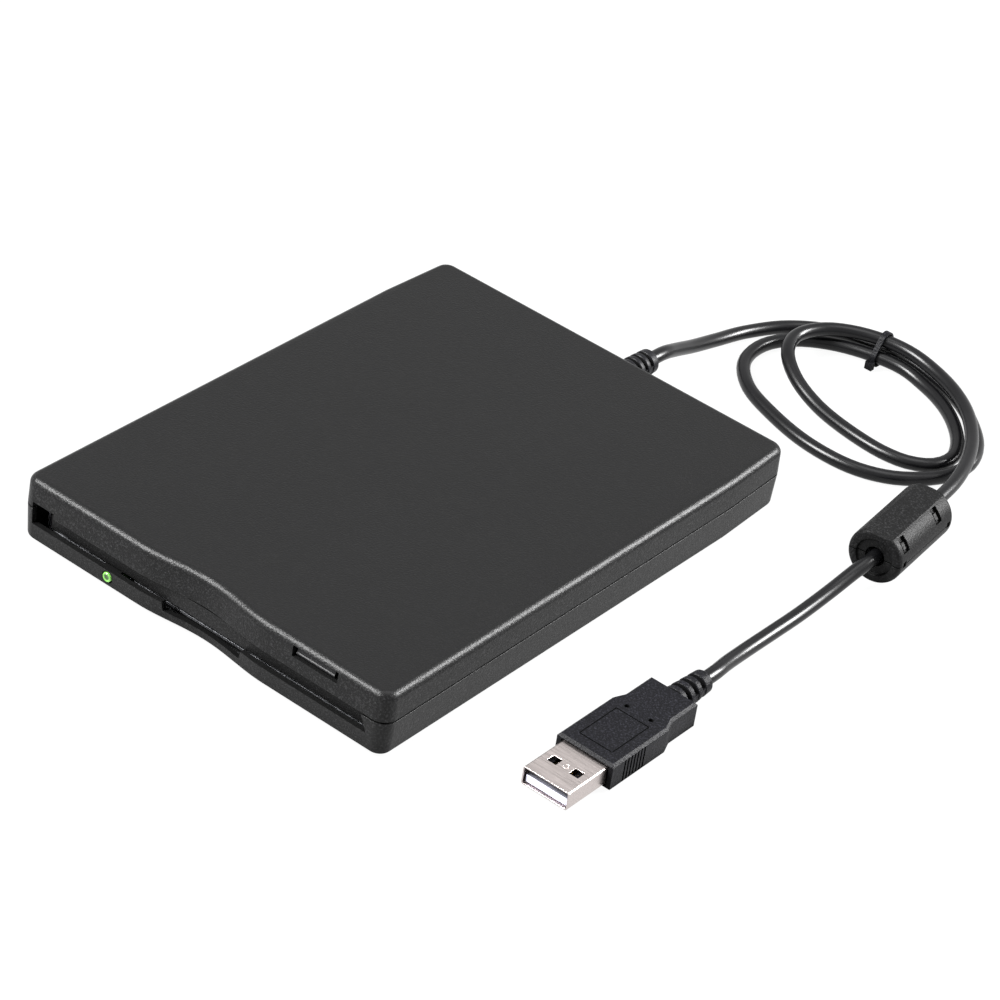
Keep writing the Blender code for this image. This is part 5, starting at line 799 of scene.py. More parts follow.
def plan_ring(height, inset):
    """Plan outline of the case at one height, with the finger dip in front and the taper behind."""
    share = (height - BASE_Z) / CASE_HEIGHT
    deep = FINGER_DEEP_BASE + (FINGER_DEEP_TOP - FINGER_DEEP_BASE) * share
    half = HALF_WIDTH - inset
    front = -HALF_LENGTH + inset
    rear = HALF_LENGTH - inset
    radius = max(PLAN_RADIUS - inset, LEAST_RADIUS)
    lean = math.degrees(math.atan2(REAR_TAPER, REAR_TAPER_LENGTH))
    points = arc((-half + radius, front + radius), radius, 180, 270, CORNER_STEPS)
    for step in range(FINGER_STEPS + 1):
        across = 2 * step / FINGER_STEPS - 1
        dip = deep * (1 + math.cos(math.pi * across)) / 2
        points.append((FINGER_CENTRE + FINGER_HALF * across, front + dip))
    points += arc((half - radius, front + radius), radius, 270, 360, CORNER_STEPS)
    points.append((half, HALF_LENGTH - REAR_TAPER_LENGTH))
    rear_half = half - REAR_TAPER
    points += arc((rear_half - radius, rear - radius), radius, lean, 90, CORNER_STEPS)
    points += arc((-rear_half + radius, rear - radius), radius, 90, 180 - lean, CORNER_STEPS)
    points.append((-half, HALF_LENGTH - REAR_TAPER_LENGTH))
    return [(across, along, height) for across, along in points]


def slot_cutter(top_z):
    """The slot through the front wall, with its right end slanted."""
    outline = [
        (SLOT_LEFT_X, SLOT_LOW_Z), (SLOT_RIGHT_LOW_X, SLOT_LOW_Z),
        (SLOT_RIGHT_HIGH_X, UPPER_RIM_Z), (SLOT_RIGHT_HIGH_X, top_z), (SLOT_LEFT_X, top_z),
    ]
    return prism("Y", -HALF_LENGTH - OVERRUN, BEHIND_FINGER_Y, outline)


def both_sides(across, *rows):
    return [(side * across, along) for along in rows for side in (-1, 1)]


SCREW_POSTS = both_sides(0.043, 0.0645)
DRIVE_SCREWS = both_sides(0.0395, -0.0465, 0.041)
FEET = both_sides(0.041, -0.059, 0.055)


def lead_arch():
    """The arch over the lead's neck in the rear wall of the top shell."""
    reach = RELIEF_NECK_RADIUS + GAP
    outline = arc((LEAD_X, LEAD_Z), reach, 0, 180, 16)
    outline += [(LEAD_X - reach, UPPER_RIM_Z - OVERRUN), (LEAD_X + reach, UPPER_RIM_Z - OVERRUN)]
    return prism("Y", HALF_LENGTH - WALL - OVERRUN, HALF_LENGTH + OVERRUN, outline)


def lead_notch():
    """The square notch under it in the base shell's tongue."""
    reach = RELIEF_NECK_RADIUS + GAP
    return box((LEAD_X - reach, HALF_LENGTH - WALL - OVERRUN, LOWER_RIM_Z),
               (LEAD_X + reach, HALF_LENGTH + OVERRUN, TONGUE_Z + OVERRUN))


def build_top_shell(case):
    rings = [plan_ring(TONGUE_Z + GAP, SKIN), plan_ring(UPPER_RIM_Z, SKIN),
             plan_ring(UPPER_RIM_Z, case.edge_bevel), plan_ring(UPPER_RIM_Z + case.edge_bevel, 0)]
    for step in range(FILLET_STEPS + 1):
        angle = math.radians(90 * step / FILLET_STEPS)
        inset = UPPER_DRAW_IN + TOP_FILLET * (1 - math.cos(angle))
        rings.append(plan_ring(TOP_Z - TOP_FILLET * (1 - math.sin(angle)), inset))
    cavity = loft([plan_ring(UPPER_RIM_Z, WALL), plan_ring(CEILING_Z - SKIN, WALL),
                   plan_ring(CEILING_Z, WALL + SKIN)])
    cuts = [
        cavity,
        box((SLOT_LEFT_X, -HALF_LENGTH - OVERRUN, UPPER_RIM_Z - OVERRUN),
            (POCKET_RIGHT_X, -HALF_LENGTH + WALL + GAP, POCKET_TOP_Z)),
        box((BUTTON_HOLE_LEFT_X, -HALF_LENGTH - OVERRUN, BUTTON_HOLE_LOW_Z),
            (BUTTON_HOLE_RIGHT_X, BEHIND_FINGER_Y, CEILING_Z)),
        lead_arch(),
    ]
    shell = solid("case_top_shell", [loft(rings)], cuts, case.edge_bevel)
    extras = []
    front, rear = BRACKET_Y
    for side in (-1, 1):
        inner, outer = sorted(side * across for across in BRACKET_X)
        bracket = [(front, CEILING_Z + SINK), (front, DOOR_PIN_Z),
                   *arc((DOOR_PIN_Y, DOOR_PIN_Z), BRACKET_NOSE, 180, 360, 12), (rear, CEILING_Z + SINK)]
        hole = rod((inner - OVERRUN, DOOR_PIN_Y, DOOR_PIN_Z), (outer + OVERRUN, DOOR_PIN_Y, DOOR_PIN_Z),
                   DOOR_PIN_HOLE, 16)
        extras.append(solid("bracket", [prism("X", inner, outer, bracket)], [hole], FINE_BEVEL).data)
    for across, along in SCREW_POSTS:
        post = upright(across, along, POST_LOW_Z, CEILING_Z + SINK, POST_RADIUS, 24)
        hole = upright(across, along, POST_LOW_Z - OVERRUN, POST_BORE_TOP_Z, POST_BORE, 16)
        extras.append(solid("post", [post], [hole], FINE_BEVEL).data)
    joined(shell, extras)
    return shell


def joined(obj, meshes):
    """Adds meshes to an object's own, and removes what held them."""
    work = bmesh.new()
    work.from_mesh(obj.data)
    for mesh in meshes:
        work.from_mesh(mesh)
    work.to_mesh(obj.data)
    work.free()
    for holder in [o for o in bpy.data.objects if o.data in meshes and o is not obj]:
        bpy.data.objects.remove(holder)
    smooth(obj)


def build_base_shell(case):
    bevel = case.edge_bevel
    rings = []
    for step in range(FILLET_STEPS + 1):
        angle = math.radians(90 * step / FILLET_STEPS)
        inset = BASE_DRAW_IN + BASE_FILLET * (1 - math.sin(angle))
        rings.append(plan_ring(BASE_Z + BASE_FILLET * (1 - math.cos(angle)), inset))
    seam = bevel / 4
    rings += [plan_ring(LOWER_RIM_Z - seam, 0), plan_ring(LOWER_RIM_Z, seam),
              plan_ring(LOWER_RIM_Z, TONGUE_INSET), plan_ring(TONGUE_Z, TONGUE_INSET)]
    cavity = loft([plan_ring(FLOOR_Z, WALL + SKIN), plan_ring(FLOOR_Z + SKIN, WALL),
                   plan_ring(TONGUE_Z + OVERRUN, WALL)])
    notch = [(NOTCH_LEFT_X, NOTCH_LOW_Z), (NOTCH_RIGHT_X, NOTCH_LOW_Z),
             (NOTCH_RIGHT_X + NOTCH_FLARE, SLOT_LOW_Z + OVERRUN),
             (NOTCH_LEFT_X - NOTCH_FLARE, SLOT_LOW_Z + OVERRUN)]
    cuts = [
        cavity,
        slot_cutter(TONGUE_Z + OVERRUN),
        prism("Y", -HALF_LENGTH - OVERRUN, BEHIND_FINGER_Y, notch),
        rod((LED_X, -HALF_LENGTH - OVERRUN, LED_Z), (LED_X, -HALF_LENGTH + 2 * WALL, LED_Z), LED_HOLE_RADIUS),
        lead_notch(),
    ]
    for across, along in FEET:
        cuts.append(upright(across, along, BASE_Z - OVERRUN, BASE_Z + FOOT_SET, FOOT_RADIUS + GAP))
    for places, head in ((SCREW_POSTS, CASE_SCREW_HEAD), (DRIVE_SCREWS, DRIVE_SCREW_HEAD)):
        for across, along in places:
            recess_z = BASE_Z + SCREW_HEAD_SINK + head + GAP
            cuts.append(upright(across, along, BASE_Z - OVERRUN, recess_z, SCREW_HEAD_RADIUS + GAP, 32))
            cuts.append(upright(across, along, BASE_Z, FLOOR_Z + OVERRUN, SCREW_SHANK_RADIUS + GAP, 24))
    shell = solid("case_base_shell", [loft(rings)], cuts, bevel)
    extras = []
    for across, along in SCREW_POSTS:
        boss = upright(across, along, FLOOR_Z - SINK, FLOOR_Z + CASE_BOSS_RISE, CASE_BOSS_RADIUS, 24)
        hole = upright(across, along, FLOOR_Z - OVERRUN, FLOOR_Z + 2 * OVERRUN, SCREW_HEAD_RADIUS + GAP, 24)
        extras.append(solid("boss", [boss], [hole], FINE_BEVEL).data)
    holder = box((LED_X - LED_HOLDER_HALF, -HALF_LENGTH + WALL - SINK, FLOOR_Z - SINK),
                 (LED_X + LED_HOLDER_HALF, -HALF_LENGTH + LED_HOLDER_DEEP, SLOT_LOW_Z - SINK))
    bore = rod((LED_X, -HALF_LENGTH, LED_Z), (LED_X, -HALF_LENGTH + LED_HOLDER_DEEP + OVERRUN, LED_Z),
               LED_HOLE_RADIUS)
    extras.append(solid("holder", [holder], [bore], FINE_BEVEL).data)
    for side in (-1, 1):
        pillar = upright(side * PILLAR_X, PILLAR_Y, FLOOR_Z - SINK, PILLAR_TOP_Z, PILLAR_RADIUS, 32)
        extras.append(solid("pillar", [pillar], bevel=FINE_BEVEL).data)
    joined(shell, extras)
    return shell


class FLOPPY_OT_case_shells(bpy.types.Operator):
    """Builds the top and base shells of the case"""

    bl_idname = "floppy_looks.case_shells"
    bl_label = "Case shells"

    def execute(self, context):
        case = context.scene.floppy_case
        finish = finishes()["case_black"]
        dress(build_top_shell(case), "case", finish, "case_black", "top_cover")
        dress(build_base_shell(case), "case", finish, "case_black", "bottom_cover")
        return {"FINISHED"}


# Front pieces


def build_button():
    """Eject button: a bar with a rounded lower lip, on a tail that reaches the slide."""
    left, right = 0.0266, 0.0371
    front, rear = -0.0693, -0.0625
    low, high = 0.0135, 0.0155
    lip = 0.0004
    face = [(rear, low), (front + lip, low), *arc((front + lip, low + lip), lip, 270, 180, 5),
            (front, low + 0.0006), (front + 0.00025, low + 0.0008), (front + lip, high - 0.0002),
            (front + 0.0006, high), (rear, high)]
    bar = prism("X", left, right, face)
    tail = box((0.0280, -0.0646, 0.0119), (0.0357, -0.0580, 0.0137))
    return solid("eject_button_bar", [bar, tail], bevel=0.00022, segments=3, angle=50)


def build_lens():
    """Lens with a raised ring and a shallow dish in its middle."""
    rear, reach = -0.0662, 0.0038
    place = Matrix.Translation((LED_X, rear, LED_Z)) @ Matrix.Rotation(math.radians(90), 4, "X")
    ring_and_dish = ((0.0012, 0.0003), (0.00112, 0.00012), (0.00100, 0.00003), (0.00088, 0.00002),
                     (0.00074, 0.0001), (0.00055, 0.00020), (0.0003, 0.00026), (0, 0.00028))
    profile = [(0, 0), (0.0012, 0), *((radius, reach - below) for radius, below in ring_and_dish)]
    return solid("lamp_lens", [revolve(profile, place)])


class FLOPPY_OT_front(bpy.types.Operator):
    """Builds the eject button and the lamp"""

    bl_idname = "floppy_looks.front"
    bl_label = "Front pieces"

    def execute(self, context):
        dress(build_button(), "slide", finishes()["button_black"], "button_black", "eject_button")
        dress(build_lens(), "case", finishes()["lens_green"], "lens_green", "led_lens")
        return {"FINISHED"}


# Underside


def screw_head(name, place, low_z, head, radius, tip_z):
    """A pan-head screw seen from below, with a cross recess."""
    dome, deep, point = 0.00022, 0.0006, 0.0006
    profile = [(0, low_z), (radius * 0.7, low_z), (radius * 0.9, low_z + dome * 0.4), (radius, low_z + dome),
               (radius, low_z + head), (SCREW_SHANK_RADIUS, low_z + head),
               (SCREW_SHANK_RADIUS, tip_z - point), (0, tip_z)]
    arm, half = radius * 0.62, radius * 0.15
    cross = []
    for x, y in ((arm, half), (half, arm)):
        cross.append(box((place.x - x, place.y - y, low_z - OVERRUN),
                         (place.x + x, place.y + y, low_z + deep)))
    body = revolve(profile, Matrix.Translation((place.x, place.y, 0)), 32)
    return solid(name, [body], cross, bevel=0.00005)


def foot_pad(name, place, low_z, high_z, radius):
    """A rubber foot with a softened edge and a ring that touches the table."""
    soft = 0.00012
    profile = [(0, low_z + soft), (radius - 0.0013, low_z + soft), (radius - 0.0011, low_z),
               (radius - 0.0004, low_z), (radius - soft, low_z + soft), (radius, low_z + 0.0004),
               (radius, high_z), (0, high_z)]
    return solid(name, [revolve(profile, Matrix.Translation((place.x, place.y, 0)))])


class FLOPPY_OT_underside(bpy.types.Operator):
    """Builds the feet and the screws under the case"""

    bl_idname = "floppy_looks.underside"
    bl_label = "Feet and screws"

    def execute(self, context):
        steel, rubber = finishes()["screw_steel"], finishes()["rubber_black"]
        for node in sorted(frame["nodes"]):
            low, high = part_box(node)
            centre, radius = (low + high) / 2, (high.x - low.x) / 2
            if "screw" in node and node.startswith(("case_", "drive_")):
                head = CASE_SCREW_HEAD if node.startswith("case_") else DRIVE_SCREW_HEAD
                piece = screw_head(f"{node}_cross", centre, low.z, head, radius, high.z)
                dress(piece, "case", steel, "screw_steel", node)
            elif node.startswith("foot_"):
                pad = foot_pad(f"{node}_pad", centre, low.z, high.z, radius)
                dress(pad, "case", rubber, "rubber_black", node)
        return {"FINISHED"}


# Lead


def smooth_route():
    """Points at even steps on a smooth curve through the cable's route."""
    route = [Vector(point) for point in CABLE_ROUTE]
    steps = [math.sqrt((after - before).length) for before, after in zip(route, route[1:])]
    slopes = [(after - before) / step for before, after, step in zip(route, route[1:], steps)]
    tangents = [slopes[0]]
    for before, after, step_in, step_out in zip(slopes, slopes[1:], steps, steps[1:]):
        tangents.append((before * step_out + after * step_in) / (step_in + step_out))
    tangents.append(slopes[-1])
    fine = []
    for i, step in enumerate(steps):
        for part_step in range(ROUTE_FINE_STEPS):
            t = part_step / ROUTE_FINE_STEPS
            point = route[i] * (2 * t**3 - 3 * t**2 + 1) + tangents[i] * step * (t**3 - 2 * t**2 + t)
            point += route[i + 1] * (3 * t**2 - 2 * t**3) + tangents[i + 1] * step * (t**3 - t**2)
            fine.append(point)
    fine.append(route[-1])
    lengths = [0]
    for before, after in zip(fine, fine[1:]):
        lengths.append(lengths[-1] + (after - before).length)
    points = []
    index = 0
    for sample in range(CABLE_SAMPLES):
        wanted = lengths[-1] * sample / (CABLE_SAMPLES - 1)
        while index < len(fine) - 2 and lengths[index + 1] < wanted:
            index += 1
        share = (wanted - lengths[index]) / (lengths[index + 1] - lengths[index])
        point = fine[index].lerp(fine[index + 1], min(max(share, 0), 1))
        point.z = max(point.z, CABLE_RADIUS)
        points.append(point)
    return points


def build_cable():
    curve = bpy.data.curves.new("usb_cable_jacket", "CURVE")
    curve.dimensions = "3D"
    curve.bevel_depth = CABLE_RADIUS
    curve.bevel_resolution = 6
    curve.use_fill_caps = True
    points = smooth_route()
    spline = curve.splines.new("POLY")
    spline.points.add(len(points) - 1)
    for target, point in zip(spline.points, points):
        target.co = (*point, 1)
    spline.use_smooth = True
    return make_object("usb_cable_jacket", curve)


def ribbed(length, start_radius, end_radius, groove_radius):
    """Outer side of a ribbed sleeve with softened rib edges."""
    ribs, groove_share, soft = 3, 0.42, 0.00018
    pitch = length / (ribs + 1)
    points = [(start_radius - soft, 0), (start_radius, soft)]
    for rib in range(ribs):
        start, end = pitch * (rib + 1 - groove_share), pitch * (rib + 1)
        near_radius = start_radius + (end_radius - start_radius) * start / length
        far_radius = start_radius + (end_radius - start_radius) * end / length
        points += [(near_radius, start - soft), (near_radius - soft, start), (groove_radius, start + soft / 2),
                   (groove_radius, end - soft / 2), (far_radius - soft, end), (far_radius, end + soft)]
    points += [(end_radius, length - 2 * soft), (end_radius - soft, length - soft / 2),
               (end_radius - 2.5 * soft, length)]
    return points


def sleeve(place, length, radii, root, sides):
    """A ribbed sleeve round the cable, and two ridges along its sides that bridge the grooves."""
    across, start, height = place
    profile = [*root, *ribbed(length, *radii), (CABLE_RADIUS, length), (CABLE_RADIUS, length - SLEEVE_MOUTH),
               (0, length - SLEEVE_MOUTH)]
    shapes = [revolve(profile, along_y(across, start, height), sides)]
    start_radius, end_radius = radii[:2]
    near, far, sunk = start + 0.0003, start + length - 0.0004, 0.0002
    for side in (-1, 1):
        outline = [(across, near), (across + side * (start_radius - sunk), near),
                   (across + side * (end_radius - sunk), far), (across, far)]
        shapes.append(prism("Z", height - SPINE_HALF, height + SPINE_HALF, outline))
    return shapes


def build_relief():
    """Strain relief: a collar inside the rear wall, a neck through it and a ribbed sleeve."""
    collar_radius, collar_long = 0.0032, 0.0011
    inside = -WALL - 2 * GAP - UPPER_DRAW_IN
    root = [(0, inside - collar_long), (collar_radius, inside - collar_long), (collar_radius, inside),
            (RELIEF_NECK_RADIUS, inside), (RELIEF_NECK_RADIUS, 0)]
    shapes = sleeve((LEAD_X, HALF_LENGTH + GAP, LEAD_Z), 0.009, (0.0034, 0.0030, 0.0022), root, 64)
    return solid("strain_relief_sleeve", shapes, bevel=0.00006)


def belt(radius, steps):
    """Outline of a band pulled round the tied strands."""
    middle = sum((Vector(centre) for centre in TIED_STRANDS), Vector((0, 0))) / len(TIED_STRANDS)
    ordered = sorted(TIED_STRANDS, key=lambda point: math.atan2(point[1] - middle.y, point[0] - middle.x))
    points = []
    for i, centre in enumerate(ordered):
        before = Vector(centre) - Vector(ordered[i - 1])
        after = Vector(ordered[(i + 1) % len(ordered)]) - Vector(centre)
        start = math.degrees(math.atan2(before.y, before.x)) - 90
        end = math.degrees(math.atan2(after.y, after.x)) - 90
        while end < start:
            end += 360
        points += arc(centre, radius, start, end, steps)
    return points


def build_tie():
    """Cable tie: a toothed band, its square head and the cut tail."""
    half, band = 0.0007, 0.0005
    head_long, head_top = 0.0011, 0.0024
    tail_long, tail_low = 0.0018, 0.0022
    teeth, pitch, tooth_long, tooth_deep = 3, 0.0005, 0.00022, 0.00015
    inner, outer = CABLE_RADIUS + GAP, CABLE_RADIUS + GAP + band
    ring = prism("X", TIE_X - half, TIE_X + half, belt(outer, 10))
    hollow = prism("X", TIE_X - half - OVERRUN, TIE_X + half + OVERRUN, belt(inner, 10))
    front = min(along for along, _ in TIED_STRANDS) - outer
    rear = max(along for along, _ in TIED_STRANDS) + outer
    head = box((TIE_X - half - GAP, front - head_long, GAP), (TIE_X + half + GAP, front + band / 2, head_top))
    throat = box((TIE_X - half * 0.7, front - 0.0008, GAP - OVERRUN),
                 (TIE_X + half * 0.7, front - 0.0004, head_top + OVERRUN))
    tail = box((TIE_X - half + SINK, rear - band / 2, tail_low),
               (TIE_X + half - SINK, rear + tail_long, tail_low + band))
    cuts = [hollow, throat]
    for tooth in range(teeth):
        along = rear + GAP + tooth * pitch
        cuts.append(box((TIE_X - half * 0.6, along, tail_low + band - tooth_deep),
                        (TIE_X + half * 0.6, along + tooth_long, tail_low + band + OVERRUN)))
    return solid("cable_tie_band", [ring, head, tail], cuts, bevel=0.00009)


def bead_place():
    along = BEAD_REAR - BEAD_FRONT
    turn = Matrix.Rotation(math.atan2(-along.x, along.y), 4, "Z")
    return Matrix.Translation((BEAD_FRONT + BEAD_REAR) / 2) @ turn


def bead_body(half):
    """The whole bead, turned about its length, with round rims and dished ends."""
    dish = BEAD_RADIUS - BEAD_FILLET - BEAD_RIM
    end = half - BEAD_DISH
    profile = [(0, end), (dish, end), (dish + BEAD_DISH * 0.4, half - 0.0001), (dish + BEAD_DISH, half)]
    for step in range(7):
        turn = math.radians(90 * step / 6)
        profile.append((BEAD_RADIUS - BEAD_FILLET + BEAD_FILLET * math.sin(turn),
                        half - BEAD_FILLET * (1 - math.cos(turn))))
    whole = profile + [(radius, -height) for radius, height in reversed(profile)]
    return revolve(whole, Matrix.Rotation(math.radians(-90), 4, "X"), 72)


def bead_hooks(lean):
    """The catches in the two windows."""
    hooks = []
    for along in BEAD_WINDOW_PLACES:
        near, far = (along + BEAD_WINDOW_LONG * share for share in HOOK_LONG)
        low, high = (BEAD_WINDOW_HIGH * share for share in HOOK_HIGH)
        shape = prism("X", BEAD_RADIUS - BEAD_WINDOW_DEEP - SINK, BEAD_RADIUS - BEAD_WINDOW_DEEP * HOOK_SUNK,
                      [(near, low), (far, low), (far, high), (near, high)])
        shape.transform(lean)
        hooks.append(solid("hook", [shape], bevel=FINE_BEVEL, place=bead_place()).data)
    return hooks


def build_bead_half(name, side):
    """Half of the bead's shell: side is -1 below the cable and 1 above it."""
    notch_in, notch_half, notch_deep, notch_tall = 0.0024, 0.0007, 0.0009, 0.0008
    half = (BEAD_REAR - BEAD_FRONT).length / 2
    far, long = BEAD_RADIUS + OVERRUN, half + OVERRUN
    other = sorted((side * GAP / 2, -side * far))
    flat = ((-far, -BEAD_FRONT.z), (BEAD_TOP_FLAT, far))[side > 0]
    cavity_end = half - BEAD_END_WALL
    cuts = [rod((0, -cavity_end, 0), (0, cavity_end, 0), BEAD_CAVITY, 64),
            rod((0, -long, 0), (0, long, 0), BEAD_HOLE, 32),
            box((-far, -long, other[0]), (far, long, other[1])),
            box((-far, -long, flat[0]), (far, long, flat[1]))]
    for along in (-half + notch_in, half - notch_in):
        for left, right in ((-far, notch_deep - BEAD_RADIUS), (BEAD_RADIUS - notch_deep, far)):
            cuts.append(box((left, along - notch_half, -notch_tall), (right, along + notch_half, notch_tall)))
    lean = Matrix.Rotation(-BEAD_WINDOW_LEAN, 4, "Y")
    if side > 0:
        reach, tall = BEAD_WINDOW_LONG / 2, BEAD_WINDOW_HIGH / 2
        for along in BEAD_WINDOW_PLACES:
            window = box((BEAD_RADIUS - BEAD_WINDOW_DEEP, along - reach, -tall), (far, along + reach, tall))
            window.transform(lean)
            cuts.append(window)
    piece = solid(name, [bead_body(half)], cuts, bevel=0.00022, segments=3, angle=38, place=bead_place())
    if side > 0:
        joined(piece, bead_hooks(lean))
    return piece


def grip_ring(height, inset):
    """Plan outline of the grip, wide in front and narrower behind its waist."""
    shoulder, waist_start = 0.0185, 0.0215
    half, waist = GRIP_HALF - inset, GRIP_WAIST_HALF - inset
    right = [(half, GRIP_FRONT_Y + inset), (half, GRIP_FRONT_Y + shoulder),
             (waist, GRIP_FRONT_Y + waist_start), (waist, GRIP_REAR_Y - inset)]
    left = [(-across, along) for across, along in reversed(right)]
    return [(PLUG_X + across, along, height) for across, along in right + left]


def grip_ribs(low, high):
    """Cutters of the ribs on the grip's sides."""
    count, first, pitch, wide, deep = 7, 0.004, 0.0011, 0.0005, 0.0003
    cuts = []
    for rib in range(count):
        start = GRIP_FRONT_Y + first + rib * pitch
        for side in (-1, 1):
            left, right = sorted((side * (GRIP_HALF - deep), side * (GRIP_HALF + OVERRUN)))
            cuts.append(box((PLUG_X + left, start, low), (PLUG_X + right, start + wide, high)))
    return cuts


def grip_panels(low, high):
    """Cutters of the framed panel and the two dots on the grip's top and underside."""
    wide, deep, dot_deeper = 0.00030, 0.00024, 0.0005
    panel_half, dot_x, dot_radius = 0.0043, 0.0032, 0.0006
    rows = (GRIP_FRONT_Y + 0.0034, GRIP_FRONT_Y + 0.0158)
    dot_y = GRIP_FRONT_Y + 0.0180
    columns = (PLUG_X - panel_half, PLUG_X + panel_half)
    cuts = []
    for bottom, top, dot_ends in ((high - deep, high + OVERRUN, (-dot_deeper, 0)),
                                  (low - OVERRUN, low + deep, (0, dot_deeper))):
        for x in columns:
            cuts.append(box((x - wide / 2, rows[0], bottom), (x + wide / 2, rows[1], top)))
        for y in rows:
            cuts.append(box((columns[0], y - wide / 2, bottom), (columns[1], y + wide / 2, top)))
        for x in (PLUG_X - dot_x, PLUG_X + dot_x):
            cuts.append(upright(x, dot_y, bottom + dot_ends[0], top + dot_ends[1], dot_radius, 24))
    return cuts


def build_grip():
    """Over-moulded grip: chamfered block with side ribs, a framed panel on both faces and a ribbed tail."""
    low, high = PLUG_Z - GRIP_TALL_HALF, PLUG_Z + GRIP_TALL_HALF
    chamfer, tail_radius, tail_end = 0.0006, 0.0033, 0.0027
    grip = loft([grip_ring(low, chamfer), grip_ring(low + chamfer, 0), grip_ring(high - chamfer, 0),
                 grip_ring(high, chamfer)])
    root = [(0, -chamfer - OVERRUN), (tail_end, -chamfer - OVERRUN), (tail_end, 0)]
    radii = (tail_radius, tail_end, 0.0020)
    tail = sleeve((PLUG_X, GRIP_REAR_Y, PLUG_Z), TAIL_LENGTH, radii, root, ROUND_SIDES)
    socket_half, socket_tall = SHELL_HALF + GAP, SHELL_TALL_HALF + GAP
    cuts = [box((PLUG_X - socket_half, GRIP_FRONT_Y - OVERRUN, PLUG_Z - socket_tall),
                (PLUG_X + socket_half, SHELL_REAR_Y + GAP, PLUG_Z + socket_tall)),
            *grip_ribs(low + chamfer, high - chamfer), *grip_panels(low, high)]
    return solid("plug_grip", [grip, *tail], cuts, bevel=0.00012, angle=28)


def shell_outline(inset, corner):
    half, tall = SHELL_HALF - inset, SHELL_TALL_HALF - inset
    return rounded(PLUG_X - half, PLUG_Z - tall, PLUG_X + half, PLUG_Z + tall, corner)


def build_plug_shell():
    """Folded shell of the plug, with its four square holes and the joint that holds the fold."""
    hole_x, hole_half, hole_ends = 0.0029, 0.00115, (0.0052, 0.0075)
    curl_radii, curl_from, curl_to, curl_deep = (0.00075, 0.00055), 200, 470, 0.00012
    low, high = PLUG_Z - SHELL_TALL_HALF, PLUG_Z + SHELL_TALL_HALF
    cuts = [prism("Y", PLUG_TIP_Y - OVERRUN, SHELL_REAR_Y + OVERRUN, shell_outline(SHELL_SHEET, 0.00025))]
    for side in (-1, 1):
        left = PLUG_X + side * hole_x - hole_half
        cuts.append(box((left, PLUG_TIP_Y + hole_ends[0], low - OVERRUN),
                        (left + 2 * hole_half, PLUG_TIP_Y + hole_ends[1], high + OVERRUN)))
    curl = (PLUG_X, PLUG_TIP_Y + 0.0064)
    outer, inner = (arc(curl, radius, curl_from, curl_to, 20) for radius in curl_radii)
    cuts.append(prism("Z", high - curl_deep, high + OVERRUN, outer + inner[::-1]))
    body = prism("Y", PLUG_TIP_Y, SHELL_REAR_Y, shell_outline(0, 0.0005))
    return solid("plug_metal_shell", [body], cuts, bevel=0.00008, segments=3, angle=45)


def build_tongue():
    """Insulator in the plug, with grooves for its four contacts."""
    half, front, rear, deep = 0.0006, 0.0036, 0.0015, 0.0002
    low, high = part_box("plug_tongue")
    cuts = [box((PLUG_X + across - half, low.y + front, high.z - deep),
                (PLUG_X + across + half, high.y - rear, high.z + OVERRUN)) for across in CONTACT_PLACES]
    return solid("plug_insulator", [box(low, high)], cuts, bevel=0.00008)


def build_contacts():
    """The four contacts, the outer two further forward than the inner two."""
    half, rear, deep, skin, bevel = 0.0005, 0.0016, 0.0002, 0.00002, 0.00004
    low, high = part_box("plug_tongue")
    pieces = []
    for across, front in zip(CONTACT_PLACES, (0.0038, 0.0048, 0.0048, 0.0038)):
        shape = box((PLUG_X + across - half, low.y + front, high.z - deep),
                    (PLUG_X + across + half, high.y - rear, high.z - skin))
        pieces.append(solid("plug_contacts" if not pieces else "contact", [shape], bevel=bevel))
    joined(pieces[0], [piece.data for piece in pieces[1:]])
    return pieces[0]


class FLOPPY_OT_lead(bpy.types.Operator):
    """Builds the cable with its strain relief, tie, bead and plug"""

    bl_idname = "floppy_looks.lead"
    bl_label = "Lead"

    def execute(self, context):
        finish = finishes()
        cable = dress(build_cable(), "case", finish["cable_black"], "cable_black", "usb_cable")
        dress(build_relief(), "case", finish["relief_black"], "cable_black", "cable_strain_relief")
        pieces = [
            dress(build_tie(), "case", finish["plug_black"], "plug_black", "cable_tie"),
            dress(build_bead_half("bead_lower_shell", -1), "case", finish["bead_black"], "plug_black",
                  "ferrite_shell_lower"),
            dress(build_bead_half("bead_upper_shell", 1), "bead_lid", finish["bead_black"], "plug_black",
                  "ferrite_shell_upper"),
            dress(build_grip(), "case", finish["plug_black"], "plug_black", "plug_overmold"),
            dress(build_plug_shell(), "case", finish["nickel"], "nickel", "plug_shell"),
            dress(build_tongue(), "case", finish["tongue_lavender"], "tongue_lavender", "plug_tongue"),
            dress(build_contacts(), "case", finish["contact_gold"], "brass"),
            frame["nodes"]["ferrite_core_lower"],
            frame["nodes"]["ferrite_core_upper"],
        ]
        return {"FINISHED"}


# Mechanism


def build_thread(turns):
    """Lead screw with a rounded helical thread."""
    low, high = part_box("lead_screw")
    radius = (high.x - low.x) / 2
    length = high.y - low.y
    deep, sides, steps = 0.0003, 32, turns * 10
    centre = Vector(((low.x + high.x) / 2, low.y, (low.z + high.z) / 2))
    rings = []
    for step in range(steps + 1):
        share = step / steps
        ends = min(1, min(share, 1 - share) * 12)
        ring = []
        for i in range(sides):
            angle = 2 * math.pi * i / sides
            wave = (1 + math.cos(2 * math.pi * turns * share - angle)) / 2
            reach = radius - deep * wave * ends
            ring.append(centre + Vector((reach * math.cos(angle), length * share, reach * math.sin(angle))))
        rings.append(ring)
    return solid("lead_screw_thread", [loft(rings)])


